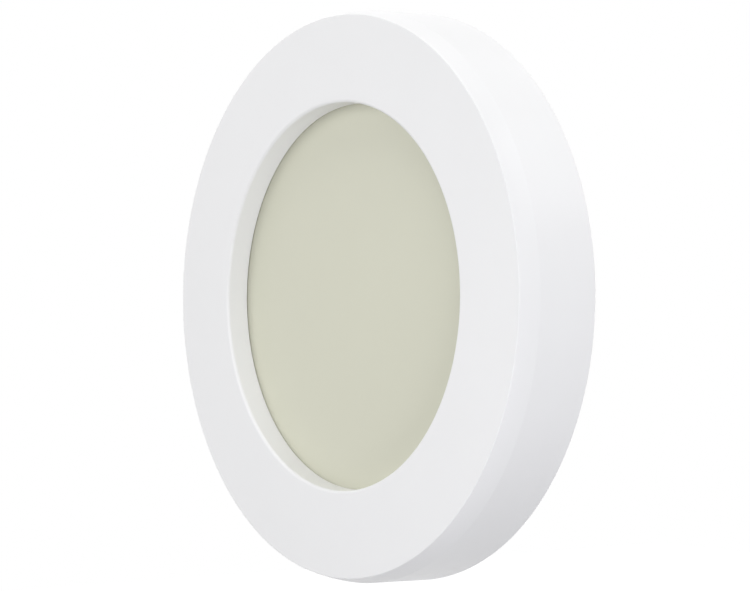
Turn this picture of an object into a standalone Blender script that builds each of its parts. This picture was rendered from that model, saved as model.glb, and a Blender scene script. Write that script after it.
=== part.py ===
"""Slim surface-mounted underwater pool light, in metres, +Z up.

The pool wall is the plane y = 0 and the light faces -Y. Every piece is modelled in a local
frame, x right, y up and z forward from the wall, which an empty turns into the room's frame.
Depths are counted forward from the wall, and radii from the light's own axis.
"""

import math

import bmesh
import bpy
from mathutils import Vector

# Fits
FIT = 0.0003
LIP_CLEARANCE = 0.0006
SOCKET_CLEARANCE = 0.0004
HEAD_ROOM = 0.0020
SCREW_CLEARANCE = 0.0003

# Wall plate and its bayonet hooks
PLATE_THICKNESS = 0.0030
PLATE_MARGIN = 0.0024
PLATE_CHAMFER = 0.0008
BOSS_OPENING_CLEARANCE = 0.0014
SLOT_COUNT = 4
SLOT_CIRCLE = 0.0700
SLOT_WIDTH = 0.0064
SLOT_LENGTH = 0.0140
HOOK_COUNT = 3
HOOK_FIRST_ANGLE = math.radians(90.0)
HOOK_SPAN = math.radians(24.0)
HOOK_WALL = 0.0030
HOOK_LIP_THICKNESS = 0.0026
HOOK_CLEARANCE = 0.0012
LUG_SPAN = math.radians(22.0)
LUG_REACH = 0.0056
LUG_THICKNESS = 0.0030
LUG_RISE = 0.0010
LUG_CLEARANCE = 0.0004
LUG_SIDE_CLEARANCE = 0.0010
LAMP_TWIST = math.radians(26.0)
STOP_SPAN = math.radians(3.0)
STOP_GAP = math.radians(0.3)

# Rear shell
SHELL_STANDOFF = 0.0030
SHELL_WALL = 0.0030
FLOOR_THICKNESS = 0.0030
LEDGE_LAP = 0.0062
FLANGE_THICKNESS = 0.0040
FLANGE_EDGE = 0.0065
BOSS_RADIUS = 0.0045
BOSS_SET = 0.0055
BOSS_LENGTH = 0.0100

# Cable gland, a plug that squeezes a grommet in the shell's rear boss
GLAND_BACK = 0.0012
GLAND_BORE_RADIUS = 0.0093
GLAND_WALL = 0.0032
GLAND_END_WALL = 0.0015
PLUG_LENGTH = 0.0036
PLUG_PIN_RADIUS = 0.0010
PLUG_PIN_DEPTH = 0.0015
PLUG_PIN_CIRCLE = 0.0069
WASHER_THICKNESS = 0.0008
GROMMET_LENGTH = 0.0032
CABLE_RADIUS = 0.0040
CABLE_CLEARANCE = 0.0002
GLAND_HOLE_CLEARANCE = 0.0005

# Driver board and what stands on it, placed from the board's centre
PAD_HEIGHT = 0.0006
PAD_RADIUS = 0.0035
DRIVER_BOARD_LENGTH = 0.0900
DRIVER_BOARD_WIDTH = 0.0440
DRIVER_BOARD_THICKNESS = 0.0012
DRIVER_POST_CLEARANCE = 0.0070
DRIVER_SCREW_MARGIN = 0.0040
DRIVER_PILOT_DEPTH = 0.0016
TERMINAL_SIZE = (0.0120, 0.0080, 0.0052)
TERMINAL_AT = (-0.0280, 0.0120)
TERMINAL_HOLE_RADIUS = 0.0012
TERMINAL_HOLE_DEPTH = 0.0030
TERMINAL_PITCH = 0.0050
TERMINAL_BEVEL = 0.0003
RECTIFIER_SIZE = (0.0090, 0.0070, 0.0026)
RECTIFIER_BEVEL = 0.0004
RECTIFIER_AT = (-0.0180, -0.0080)
INDUCTOR_RADIUS = 0.0060
INDUCTOR_WAIST = 0.0044
INDUCTOR_FLANGE = 0.0012
INDUCTOR_HEIGHT = 0.0048
INDUCTOR_AT = (0.0080, -0.0100)
CAPACITOR_RADIUS = 0.0040
CAPACITOR_HEIGHT = 0.0046
CAPACITOR_NECK = 0.00115
CAPACITOR_CRIMP = 0.0004
CAPACITOR_PLACES = ((0.0270, -0.0120), (0.0270, 0.0020))
SPREADER_CLEARANCE = 0.0001

# Heat spreader, LED board and the leads that feed it
POST_RADIUS = 0.0040
BOARD_SCREW_CLEARANCE = 0.0054
POST_COUNT = 4
POST_PILOT_DEPTH = 0.0060
SPREADER_THICKNESS = 0.0020
SPREADER_CLEAR_OF_CUP = 0.0020
LED_BOARD_THICKNESS = 0.0014
LED_BOARD_INSET = 0.0020
LED_BASE_RADIUS = 0.0030
LED_BASE_HEIGHT = 0.0008
LED_DOME_RADIUS = 0.0024
LED_HEIGHT = 0.0022
LED_INNER_CIRCLE = 0.0280
LED_INNER_COUNT = 4
LED_OUTER_CIRCLE = 0.0600
LED_OUTER_COUNT = 8
LEAD_RADIUS = 0.0007
LEAD_PITCH = 0.0044
LEAD_DROP = 0.0400
LEAD_RISE = 0.0018
LEAD_REACH = 0.0070
LEAD_BEND_STEPS = 4
LEAD_HOLE_RADIUS = 0.0045
REFLECTOR_BASE_RADIUS = 0.0860
REFLECTOR_WALL = 0.0012
REFLECTOR_CLEAR_OF_CUP = 0.0008
REFLECTOR_CLEAR_OF_LENS = 0.0010

# Lens, its gasket and the clamp ring
LENS_AIR_GAP = 0.0030
LENS_THICKNESS = 0.0060
LENS_CHAMFER = 0.0005
GASKET_LIP = 0.0012
GASKET_WALL = 0.0016
GASKET_GRIP = 0.0036
CLAMP_THICKNESS = 0.0020
CLAMP_SCREW_COUNT = 8
CLAMP_SCREW_FIRST_ANGLE = math.radians(22.5)

# Screws
CLAMP_SHANK_RADIUS = 0.0014
CLAMP_HEAD_RADIUS = 0.0036
CLAMP_HEAD_HEIGHT = 0.0026
BOARD_SHANK_RADIUS = 0.0011
BOARD_HEAD_RADIUS = 0.0026
BOARD_HEAD_HEIGHT = 0.0016
SLOT_DRIVE_WIDTH = 0.0008
SLOT_DRIVE_DEPTH = 0.0008
HEAD_FLANK_SHARE = 0.6
HEAD_FLAT_SHARE = 0.8

# Spring clips that hold the bezel, one under every other clamp screw
CLIP_COUNT = 4
CLIP_THICKNESS = 0.0008
CLIP_WIDTH = 0.0090
CLIP_FOOT = 0.0046
CLIP_GAP = 0.0010
CLIP_HUMP = 0.0036
CLIP_LEG = 0.0038
CLIP_SLOPE = 0.0040

# Bezel
OPENING_RADIUS = 0.0970
LIP_WALL = 0.0030
LIP_FILLET = 0.0016
FRONT_WALL = 0.0030
RIB_CLEARANCE = 0.0002
RIB_WALL = 0.0024
BEAD_REACH = 0.0022
BEAD_HEIGHT = 0.0020
RIM_SPACE = 0.0136
SIDE_WALL = 0.0030
SIDE_DRAFT = 0.0005
WALL_GAP = 0.0010
SHOULDER_INSET = 0.0028
SHOULDER_DEPTH = 0.0106
SHOULDER_CROWN = 0.00025
WEB_COUNT = 8
WEB_THICKNESS = 0.0020
WEB_DEPTH = 0.0130
WEB_BITE = 0.0006

# Facets
BEZEL_SEGMENTS = 80
SHELL_SEGMENTS = 48
SMALL_SIDES = 16
SCREW_SIDES = 10
FILLET_STEPS = 3
SHOULDER_STEPS = 5
SHARP_ANGLE = math.radians(30.0)
OVERSHOOT = 0.0010
MERGE_DISTANCE = 1e-6

# Depths that the stack adds up to, from the wall forward
SHELL_BACK = PLATE_THICKNESS + SHELL_STANDOFF
FLOOR_TOP = SHELL_BACK + FLOOR_THICKNESS
PAD_TOP = FLOOR_TOP + PAD_HEIGHT
DRIVER_BACK = PAD_TOP + FIT
DRIVER_TOP = DRIVER_BACK + DRIVER_BOARD_THICKNESS
COMPONENT_BASE = DRIVER_TOP + FIT
TALLEST_COMPONENT = max(TERMINAL_SIZE[2], RECTIFIER_SIZE[2], INDUCTOR_HEIGHT, CAPACITOR_HEIGHT)
POST_TOP = COMPONENT_BASE + TALLEST_COMPONENT + SPREADER_CLEARANCE
SPREADER_BACK = POST_TOP + FIT
SPREADER_TOP = SPREADER_BACK + SPREADER_THICKNESS
LED_BOARD_BACK = SPREADER_TOP + FIT
LED_BOARD_TOP = LED_BOARD_BACK + LED_BOARD_THICKNESS
LED_BASE = LED_BOARD_TOP + FIT
LENS_BACK = LED_BASE + LED_HEIGHT + LENS_AIR_GAP
LENS_FACE = LENS_BACK + LENS_THICKNESS
LEDGE_TOP = LENS_BACK - FIT - GASKET_LIP - FIT
GASKET_FRONT = LENS_FACE + FIT + GASKET_LIP
FLANGE_TOP = GASKET_FRONT
FLANGE_BOTTOM = FLANGE_TOP - FLANGE_THICKNESS
CLAMP_BACK = GASKET_FRONT + FIT
CLAMP_TOP = CLAMP_BACK + CLAMP_THICKNESS
CLIP_BACK = CLAMP_TOP + FIT
CLIP_TOP = CLIP_BACK + CLIP_THICKNESS
FRONT_INSIDE = CLIP_TOP + FIT + CLAMP_HEAD_HEIGHT + HEAD_ROOM
FRONT = FRONT_INSIDE + FRONT_WALL
LIP_BOTTOM = LENS_FACE + FIT
PLUG_TOP = GLAND_BACK + PLUG_LENGTH
WASHER_BACK = PLUG_TOP + FIT
GROMMET_BACK = WASHER_BACK + WASHER_THICKNESS + FIT
GLAND_END = GROMMET_BACK + GROMMET_LENGTH + FIT
LUG_BACK = SHELL_BACK + LUG_RISE
LUG_TOP = LUG_BACK + LUG_THICKNESS
HOOK_LIP_BACK = LUG_TOP + LUG_CLEARANCE
HOOK_TOP = HOOK_LIP_BACK + HOOK_LIP_THICKNESS

# Radii that the stack adds up to, from the axis outward
LIP_OUTER = OPENING_RADIUS + LIP_WALL
GASKET_INNER = LIP_OUTER + LIP_CLEARANCE
LENS_RADIUS = GASKET_INNER + GASKET_GRIP
GASKET_OUTER = LENS_RADIUS + FIT + GASKET_WALL
SOCKET_INNER = GASKET_OUTER + SOCKET_CLEARANCE
SOCKET_OUTER = SOCKET_INNER + SHELL_WALL
CUP_INNER = LENS_RADIUS - LEDGE_LAP
CUP_OUTER = CUP_INNER + SHELL_WALL
SPREADER_RADIUS = CUP_INNER - SPREADER_CLEAR_OF_CUP
LED_BOARD_RADIUS = SPREADER_RADIUS - LED_BOARD_INSET
SCREW_CIRCLE = SOCKET_INNER + BOSS_SET
FLANGE_RADIUS = SCREW_CIRCLE + FLANGE_EDGE
CLIP_RADIUS = FLANGE_RADIUS + CLIP_GAP + CLIP_THICKNESS / 2
RIB_INNER = CLIP_RADIUS + CLIP_HUMP + CLIP_THICKNESS + RIB_CLEARANCE
RIB_OUTER = RIB_INNER + RIB_WALL
BEAD_INNER = RIB_INNER - BEAD_REACH
SIDE_INNER = RIB_OUTER + RIM_SPACE
SIDE_RADIUS = SIDE_INNER + SIDE_WALL
BACK_RADIUS = SIDE_RADIUS + SIDE_DRAFT
GLAND_BOSS_RADIUS = GLAND_BORE_RADIUS + GLAND_WALL
GROMMET_BORE = CABLE_RADIUS + CABLE_CLEARANCE
GLAND_HOLE = CABLE_RADIUS + GLAND_HOLE_CLEARANCE
GLAND_FIT_RADIUS = GLAND_BORE_RADIUS - FIT
LUG_RADIUS = CUP_OUTER + LUG_REACH
HOOK_INNER = LUG_RADIUS + LUG_SIDE_CLEARANCE
HOOK_OUTER = HOOK_INNER + HOOK_WALL
HOOK_LIP_INNER = CUP_OUTER + HOOK_CLEARANCE
PLATE_RADIUS = HOOK_OUTER + PLATE_MARGIN
CLAMP_PILOT = CLAMP_SHANK_RADIUS + SCREW_CLEARANCE
BOARD_PILOT = BOARD_SHANK_RADIUS + SCREW_CLEARANCE
POST_CIRCLE = REFLECTOR_BASE_RADIUS - BOARD_SCREW_CLEARANCE - BOARD_HEAD_RADIUS
DRIVER_BOARD_DROP = POST_CIRCLE - POST_RADIUS - DRIVER_POST_CLEARANCE - DRIVER_BOARD_WIDTH / 2


def clear_scene():
    """Remove every object of the open scene."""
    for obj in list(bpy.data.objects):
        bpy.data.objects.remove(obj, do_unlink=True)


def finish_material(name, colour, roughness, metallic=0.0):
    """Make a Principled material of one colour."""
    material = bpy.data.materials.new(name)
    material.use_nodes = True
    shader = material.node_tree.nodes["Principled BSDF"]
    shader.inputs["Base Color"].default_value = (*colour, 1.0)
    shader.inputs["Roughness"].default_value = roughness
    shader.inputs["Metallic"].default_value = metallic
    return material


def empty(name, parent=None):
    """Make an empty on the light's axis that carries the pieces of one body."""
    holder = bpy.data.objects.new(name, None)
    holder.parent = parent
    bpy.context.scene.collection.objects.link(holder)
    return holder


def mesh_object(name, bm, holder, at=(0.0, 0.0, 0.0)):
    """Close a bmesh into an object that the holder carries, its faces pointing out."""
    bmesh.ops.recalc_face_normals(bm, faces=bm.faces[:])
    mesh = bpy.data.meshes.new(name)
    bm.to_mesh(mesh)
    bm.free()
    mesh.shade_smooth()
    mesh.set_sharp_from_angle(angle=SHARP_ANGLE)
    obj = bpy.data.objects.new(name, mesh)
    obj.location = at
    obj.parent = holder
    bpy.context.scene.collection.objects.link(obj)
    return obj


def dress(obj, material):
    """Give a finished piece its material."""
    obj.data.materials.append(material)
    return obj


def polar(radius, angle):
    """Point on a circle about the axis, as x and y."""
    return radius * math.cos(angle), radius * math.sin(angle)


def ring_angles(count, first=0.0):
    """Evenly spaced angles round the axis."""
    return [first + 2.0 * math.pi * i / count for i in range(count)]


def turned(name, holder, outline, segments, at=(0.0, 0.0, 0.0)):
    """Turn a closed outline of (radius, depth) points round the axis."""
    bm = bmesh.new()
    points = [bm.verts.new((radius, 0.0, depth)) for radius, depth in outline]
    on_axis = [radius == 0.0 for radius, depth in outline]
    edges = [
        bm.edges.new((points[i - 1], points[i]))
        for i in range(len(points))
        if not (on_axis[i - 1] and on_axis[i])
    ]
    bmesh.ops.spin(
        bm, geom=points + edges, cent=(0, 0, 0), axis=(0, 0, 1), angle=2.0 * math.pi,
        steps=segments, use_merge=True,
    )
    bmesh.ops.remove_doubles(bm, verts=bm.verts[:], dist=MERGE_DISTANCE)
    return mesh_object(name, bm, holder, at)


def cylinder(name, holder, radius, back, front, at=(0.0, 0.0), sides=SMALL_SIDES):
    """Plain round bar along the axis, between two depths."""
    outline = [(0.0, back), (radius, back), (radius, front), (0.0, front)]
    return turned(name, holder, outline, sides, (*at, 0.0))


def block(name, holder, size, base, at=(0.0, 0.0), turn=0.0, bevel=0.0):
    """Rectangular block that stands on a depth, turned about its own middle."""
    bm = bmesh.new()
    bmesh.ops.create_cube(bm, size=1.0)
    bmesh.ops.scale(bm, vec=size, verts=bm.verts[:])
    if bevel:
        bmesh.ops.bevel(bm, geom=bm.edges[:], offset=bevel, segments=1, affect="EDGES")
    obj = mesh_object(name, bm, holder, (*at, base + size[2] / 2))
    obj.rotation_euler.z = turn
    return obj


def prism(name, holder, outline, width, angle):
    """Extrude a (radius, depth) outline to a width, on the ray at an angle."""
    bm = bmesh.new()
    side = bm.faces.new([bm.verts.new((r, -width / 2, d)) for r, d in outline])
    grown = bmesh.ops.extrude_face_region(bm, geom=[side])["geom"]
    moved = [item for item in grown if isinstance(item, bmesh.types.BMVert)]
    bmesh.ops.translate(bm, vec=(0.0, width, 0.0), verts=moved)
    obj = mesh_object(name, bm, holder)
    obj.rotation_euler.z = angle
    return obj


def sector(name, holder, radii, depths, start, span, steps=4):
    """Piece of a ring between two radii and two depths, from one angle over a span."""
    (inner, outer), (back, front) = radii, depths
    corners = [(inner, back), (outer, back), (outer, front), (inner, front)]
    bm = bmesh.new()
    section = bm.faces.new([bm.verts.new((r, 0.0, d)) for r, d in corners])
    bmesh.ops.spin(
        bm, geom=[section], cent=(0, 0, 0), axis=(0, 0, 1), angle=span, steps=steps,
    )
    obj = mesh_object(name, bm, holder)
    obj.rotation_euler.z = start
    return obj


def combine(target, tools, operation):
    """Join the tools to a piece, or cut them from it, and keep them as wire guides."""
    group = bpy.data.collections.new(f"{target.name}_{operation.lower()}")
    bpy.context.scene.collection.children.link(group)
    for tool in tools:
        bpy.context.scene.collection.objects.unlink(tool)
        group.objects.link(tool)
        tool.hide_render = True
        tool.display_type = "WIRE"
    modifier = target.modifiers.new(operation.title(), "BOOLEAN")
    modifier.operation = operation
    modifier.operand_type = "COLLECTION"
    modifier.collection = group
    modifier.solver = "EXACT"
    return target


def strip_outline(path, thickness):
    """Outline of a bent strip whose middle follows a path of (radius, depth) points."""
    points = [Vector(p) for p in path]
    runs = [(b - a).normalized() for a, b in zip(points, points[1:])]
    runs = [runs[0], *runs, runs[-1]]
    left, right = [], []
    for point, before, after in zip(points, runs, runs[1:]):
        across = Vector((-before.y - after.y, before.x + after.x)).normalized()
        reach = thickness / 2 / across.dot(Vector((-after.y, after.x)))
        left.append(point + across * reach)
        right.append(point - across * reach)
    return left + right[::-1]


def hook_angles():
    """Middle angles of the bayonet hooks and of the lugs that rest under them."""
    return ring_angles(HOOK_COUNT, HOOK_FIRST_ANGLE)


def clamp_angles():
    """Angles of the clamp screws."""
    return ring_angles(CLAMP_SCREW_COUNT, CLAMP_SCREW_FIRST_ANGLE)


def clip_angles():
    """Angles of the bezel clips, which share the clamp screws."""
    return clamp_angles()[:: CLAMP_SCREW_COUNT // CLIP_COUNT]


def driver_screw_places():
    """Centres of the two screws at opposite corners of the driver board."""
    x = DRIVER_BOARD_LENGTH / 2 - DRIVER_SCREW_MARGIN
    y = DRIVER_BOARD_WIDTH / 2 - DRIVER_SCREW_MARGIN
    return [on_driver((-x, -y)), on_driver((x, y))]


def on_driver(place):
    """Place on the driver board, counted from its centre, in the light's own x and y."""
    return place[0], place[1] - DRIVER_BOARD_DROP


def screw(name, holder, at, seat, tip, shank, head):
    """Pan-head screw with a slot, its head seated at a depth and its tip at another."""
    head_radius, head_height = head
    outline = [
        (0.0, tip),
        (shank, tip),
        (shank, seat),
        (head_radius, seat),
        (head_radius, seat + HEAD_FLANK_SHARE * head_height),
        (HEAD_FLAT_SHARE * head_radius, seat + head_height),
        (0.0, seat + head_height),
    ]
    body = turned(name, holder, outline, SCREW_SIDES, (*at, 0.0))
    size = (2 * (head_radius + OVERSHOOT), SLOT_DRIVE_WIDTH, 2 * SLOT_DRIVE_DEPTH)
    base = seat + head_height - SLOT_DRIVE_DEPTH
    slot = block(f"{name}_slot", holder, size, base, at, math.atan2(at[1], at[0]))
    return combine(body, [slot], "DIFFERENCE")


def wall_bracket(holder):
    """Plate that is screwed to the wall, with three hooks that hold the lamp."""
    boss_opening = GLAND_BOSS_RADIUS + BOSS_OPENING_CLEARANCE
    plate = turned("wall_bracket", holder, [
        (boss_opening, 0.0),
        (PLATE_RADIUS, 0.0),
        (PLATE_RADIUS, PLATE_THICKNESS - PLATE_CHAMFER),
        (PLATE_RADIUS - PLATE_CHAMFER, PLATE_THICKNESS),
        (boss_opening, PLATE_THICKNESS),
    ], SHELL_SEGMENTS)
    foot = PLATE_THICKNESS / 2
    hooks = []
    for i, middle in enumerate(hook_angles()):
        start = middle - HOOK_SPAN / 2
        stop = middle - LUG_SPAN / 2 - STOP_GAP - STOP_SPAN
        far_stop = middle + LUG_SPAN / 2 + LAMP_TWIST + STOP_GAP
        wall = (HOOK_INNER, HOOK_OUTER)
        tall = (foot, HOOK_TOP)
        lip = (HOOK_LIP_INNER, HOOK_INNER + HOOK_WALL / 2)
        lip_depths = (HOOK_LIP_BACK, HOOK_TOP - FIT)
        full = (HOOK_LIP_INNER + FIT, HOOK_OUTER - FIT)
        hooks += [
            sector(f"hook_wall_{i}", holder, wall, tall, start, HOOK_SPAN),
            sector(f"hook_lip_{i}", holder, lip, lip_depths, start, HOOK_SPAN),
            sector(f"hook_stop_{i}", holder, full, (foot, HOOK_TOP - 2 * FIT), stop, STOP_SPAN, 2),
            sector(f"far_stop_{i}", holder, full, (foot, LUG_TOP), far_stop, STOP_SPAN, 2),
        ]
    combine(plate, hooks, "UNION")
    slots = []
    for i, angle in enumerate(ring_angles(SLOT_COUNT)):
        x, y = polar(SLOT_CIRCLE, angle)
        size = (SLOT_WIDTH, SLOT_LENGTH - SLOT_WIDTH, PLATE_THICKNESS + 2 * OVERSHOOT)
        slots.append(block(f"wall_slot_{i}", holder, size, -OVERSHOOT, (x, y), angle))
        for end in (-1, 1):
            along = end * (SLOT_LENGTH - SLOT_WIDTH) / 2
            at = (x - along * math.sin(angle), y + along * math.cos(angle))
            slots.append(cylinder(
                f"wall_slot_{i}_{end}", holder, SLOT_WIDTH / 2, -OVERSHOOT,
                PLATE_THICKNESS + OVERSHOOT, at,
            ))
    return combine(plate, slots, "DIFFERENCE")


def rear_shell(holder):
    """Stepped cup that holds the electronics, with the gland boss behind its floor."""
    step_bottom = LEDGE_TOP - SHELL_WALL
    shell = turned("rear_shell", holder, [
        (GLAND_BORE_RADIUS, GLAND_BACK),
        (GLAND_BOSS_RADIUS, GLAND_BACK),
        (GLAND_BOSS_RADIUS, SHELL_BACK),
        (CUP_OUTER, SHELL_BACK),
        (CUP_OUTER, step_bottom),
        (SOCKET_OUTER, step_bottom),
        (SOCKET_OUTER, FLANGE_BOTTOM),
        (FLANGE_RADIUS, FLANGE_BOTTOM),
        (FLANGE_RADIUS, FLANGE_TOP),
        (SOCKET_INNER, FLANGE_TOP),
        (SOCKET_INNER, LEDGE_TOP),
        (CUP_INNER, LEDGE_TOP),
        (CUP_INNER, FLOOR_TOP),
        (GLAND_BOSS_RADIUS, FLOOR_TOP),
        (GLAND_BOSS_RADIUS, GLAND_END + GLAND_END_WALL),
        (GLAND_HOLE, GLAND_END + GLAND_END_WALL),
        (GLAND_HOLE, GLAND_END),
        (GLAND_BORE_RADIUS, GLAND_END),
    ], SHELL_SEGMENTS)
    inside_flange = FLANGE_BOTTOM + FLANGE_THICKNESS / 2
    inside_floor = SHELL_BACK + FLOOR_THICKNESS / 2
    boss_bottom = FLANGE_BOTTOM - BOSS_LENGTH
    solids, holes = [], []
    for i, angle in enumerate(clamp_angles()):
        at = polar(SCREW_CIRCLE, angle)
        solids.append(cylinder(
            f"clamp_boss_{i}", holder, BOSS_RADIUS, boss_bottom, inside_flange, at,
        ))
        holes.append(cylinder(
            f"clamp_pilot_{i}", holder, CLAMP_PILOT, boss_bottom + OVERSHOOT,
            FLANGE_TOP + OVERSHOOT, at, SCREW_SIDES,
        ))
    for i, angle in enumerate(ring_angles(POST_COUNT)):
        at = polar(POST_CIRCLE, angle)
        solids.append(cylinder(f"board_post_{i}", holder, POST_RADIUS, inside_floor, POST_TOP, at))
        holes.append(cylinder(
            f"board_pilot_{i}", holder, BOARD_PILOT, POST_TOP - POST_PILOT_DEPTH,
            POST_TOP + OVERSHOOT, at, SCREW_SIDES,
        ))
    for i, at in enumerate(driver_screw_places()):
        solids.append(cylinder(f"driver_pad_{i}", holder, PAD_RADIUS, inside_floor, PAD_TOP, at))
        holes.append(cylinder(
            f"driver_pilot_{i}", holder, BOARD_PILOT, FLOOR_TOP - DRIVER_PILOT_DEPTH,
            PAD_TOP + OVERSHOOT, at, SCREW_SIDES,
        ))
    for i, middle in enumerate(hook_angles()):
        radii = (CUP_INNER + SHELL_WALL / 2, LUG_RADIUS)
        start = middle - LUG_SPAN / 2
        solids.append(sector(f"lug_{i}", holder, radii, (LUG_BACK, LUG_TOP), start, LUG_SPAN))
    combine(shell, solids, "UNION")
    return combine(shell, holes, "DIFFERENCE")


def gland_ring(name, holder, hole, back, front):
    """Ring that fits the bore of the gland boss."""
    outline = [
        (hole, back), (GLAND_FIT_RADIUS, back), (GLAND_FIT_RADIUS, front), (hole, front),
    ]
    return turned(name, holder, outline, 2 * SMALL_SIDES)


def gland_plug(holder):
    """Screw plug that squeezes the grommet, with two holes for a pin spanner."""
    plug = gland_ring("gland_plug", holder, GLAND_HOLE, GLAND_BACK, PLUG_TOP)
    pins = [
        cylinder(
            f"plug_pin_{side}", holder, PLUG_PIN_RADIUS, GLAND_BACK - OVERSHOOT,
            GLAND_BACK + PLUG_PIN_DEPTH, (side * PLUG_PIN_CIRCLE, 0.0), SCREW_SIDES,
        )
        for side in (-1, 1)
    ]
    return combine(plug, pins, "DIFFERENCE")


def driver_board(holder):
    """Circuit board of the driver, on two pads of the shell's floor."""
    size = (DRIVER_BOARD_LENGTH, DRIVER_BOARD_WIDTH, DRIVER_BOARD_THICKNESS)
    board = block("driver_board", holder, size, DRIVER_BACK, on_driver((0.0, 0.0)))
    holes = [
        cylinder(
            f"driver_hole_{i}", holder, BOARD_PILOT, DRIVER_BACK - OVERSHOOT,
            DRIVER_TOP + OVERSHOOT, at, SCREW_SIDES,
        )
        for i, at in enumerate(driver_screw_places())
    ]
    return combine(board, holes, "DIFFERENCE")


def terminal_block(holder):
    """Two-way terminal block whose wire holes face the gland."""
    at = on_driver(TERMINAL_AT)
    body = block("terminal_block", holder, TERMINAL_SIZE, COMPONENT_BASE, at, bevel=TERMINAL_BEVEL)
    middle = COMPONENT_BASE + TERMINAL_SIZE[2] / 2
    holes = []
    for side in (-1, 1):
        size = (2 * TERMINAL_HOLE_RADIUS, 2 * TERMINAL_HOLE_DEPTH, 2 * TERMINAL_HOLE_RADIUS)
        x = at[0] + side * TERMINAL_PITCH / 2
        y = at[1] + TERMINAL_SIZE[1] / 2
        holes.append(block(
            f"terminal_hole_{side}", holder, size, middle - TERMINAL_HOLE_RADIUS, (x, y),
        ))
    return combine(body, holes, "DIFFERENCE")


def bridge_rectifier(holder):
    """Moulded bridge rectifier on the driver board."""
    at = on_driver(RECTIFIER_AT)
    size = RECTIFIER_SIZE
    return block("bridge_rectifier", holder, size, COMPONENT_BASE, at, bevel=RECTIFIER_BEVEL)


def inductor(holder):
    """Drum inductor with a waist between its two flanges."""
    top = COMPONENT_BASE + INDUCTOR_HEIGHT
    return turned("inductor", holder, [
        (0.0, COMPONENT_BASE),
        (INDUCTOR_RADIUS, COMPONENT_BASE),
        (INDUCTOR_RADIUS, COMPONENT_BASE + INDUCTOR_FLANGE),
        (INDUCTOR_WAIST, COMPONENT_BASE + INDUCTOR_FLANGE),
        (INDUCTOR_WAIST, top - INDUCTOR_FLANGE),
        (INDUCTOR_RADIUS, top - INDUCTOR_FLANGE),
        (INDUCTOR_RADIUS, top),
        (0.0, top),
    ], SMALL_SIDES, (*on_driver(INDUCTOR_AT), 0.0))


def capacitor(number, place, holder):
    """Low can capacitor with a crimped neck."""
    top = COMPONENT_BASE + CAPACITOR_HEIGHT
    neck = COMPONENT_BASE + CAPACITOR_NECK
    waist = CAPACITOR_RADIUS - CAPACITOR_CRIMP
    return turned(f"capacitor_{number}", holder, [
        (0.0, COMPONENT_BASE),
        (CAPACITOR_RADIUS, COMPONENT_BASE),
        (CAPACITOR_RADIUS, neck - CAPACITOR_CRIMP),
        (waist, neck),
        (CAPACITOR_RADIUS, neck + CAPACITOR_CRIMP),
        (CAPACITOR_RADIUS, top - CAPACITOR_CRIMP),
        (waist, top),
        (0.0, top),
    ], SMALL_SIDES, (*on_driver(place), 0.0))


def round_board(name, holder, radius, back, front):
    """Disc with holes for the board screws and for the two leads."""
    disc = cylinder(name, holder, radius, back, front, sides=SHELL_SEGMENTS)
    holes = [cylinder(
        f"{name}_lead_hole", holder, LEAD_HOLE_RADIUS, back - OVERSHOOT, front + OVERSHOOT,
        (0.0, -LEAD_DROP),
    )]
    for i, angle in enumerate(ring_angles(POST_COUNT)):
        holes.append(cylinder(
            f"{name}_hole_{i}", holder, BOARD_PILOT, back - OVERSHOOT, front + OVERSHOOT,
            polar(POST_CIRCLE, angle), SCREW_SIDES,
        ))
    return combine(disc, holes, "DIFFERENCE")


def led_places():
    """Centres of the LEDs, on an inner and an outer circle."""
    inner = ring_angles(LED_INNER_COUNT, math.pi / LED_INNER_COUNT)
    outer = ring_angles(LED_OUTER_COUNT, math.pi / LED_OUTER_COUNT)
    return [polar(LED_INNER_CIRCLE, a) for a in inner] + [polar(LED_OUTER_CIRCLE, a) for a in outer]


def led(number, at, holder):
    """LED on its round base, with a domed front."""
    shelf = LED_BASE + LED_BASE_HEIGHT
    dome = LED_HEIGHT - LED_BASE_HEIGHT
    arc = [
        (LED_DOME_RADIUS * math.cos(t), shelf + dome * math.sin(t))
        for t in (math.pi / 2 * i / FILLET_STEPS for i in range(FILLET_STEPS))
    ]
    outline = [(0.0, LED_BASE), (LED_BASE_RADIUS, LED_BASE), (LED_BASE_RADIUS, shelf)]
    outline += arc + [(0.0, LED_BASE + LED_HEIGHT)]
    return turned(f"led_{number:02d}", holder, outline, SCREW_SIDES, (*at, 0.0))


def lead(name, side, holder):
    """Insulated lead from the driver board, up through both discs and over to its pad."""
    x = side * LEAD_PITCH / 2
    top = LED_BASE + LEAD_RADIUS + LEAD_RISE
    bend = LEAD_RISE
    out = side * LEAD_REACH
    path = [(x, COMPONENT_BASE), (x, top - bend)]
    turns = [math.pi / 2 * i / LEAD_BEND_STEPS for i in range(1, LEAD_BEND_STEPS + 1)]
    for t in turns:
        path.append((x + side * bend * (1 - math.cos(t)), top - bend + bend * math.sin(t)))
    path.append((x + out - side * bend, top))
    for t in turns:
        path.append((x + out - side * bend * (1 - math.sin(t)), top - bend * (1 - math.cos(t))))
    path.append((x + out, LED_BASE))
    curve = bpy.data.curves.new(name, "CURVE")
    curve.dimensions = "3D"
    curve.bevel_depth = LEAD_RADIUS
    curve.bevel_resolution = 2
    curve.use_fill_caps = True
    spline = curve.splines.new("POLY")
    spline.points.add(len(path) - 1)
    for point, (px, depth) in zip(spline.points, path):
        point.co = (px, -LEAD_DROP, depth, 1.0)
    obj = bpy.data.objects.new(name, curve)
    obj.parent = holder
    bpy.context.scene.collection.objects.link(obj)
    return obj


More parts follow.
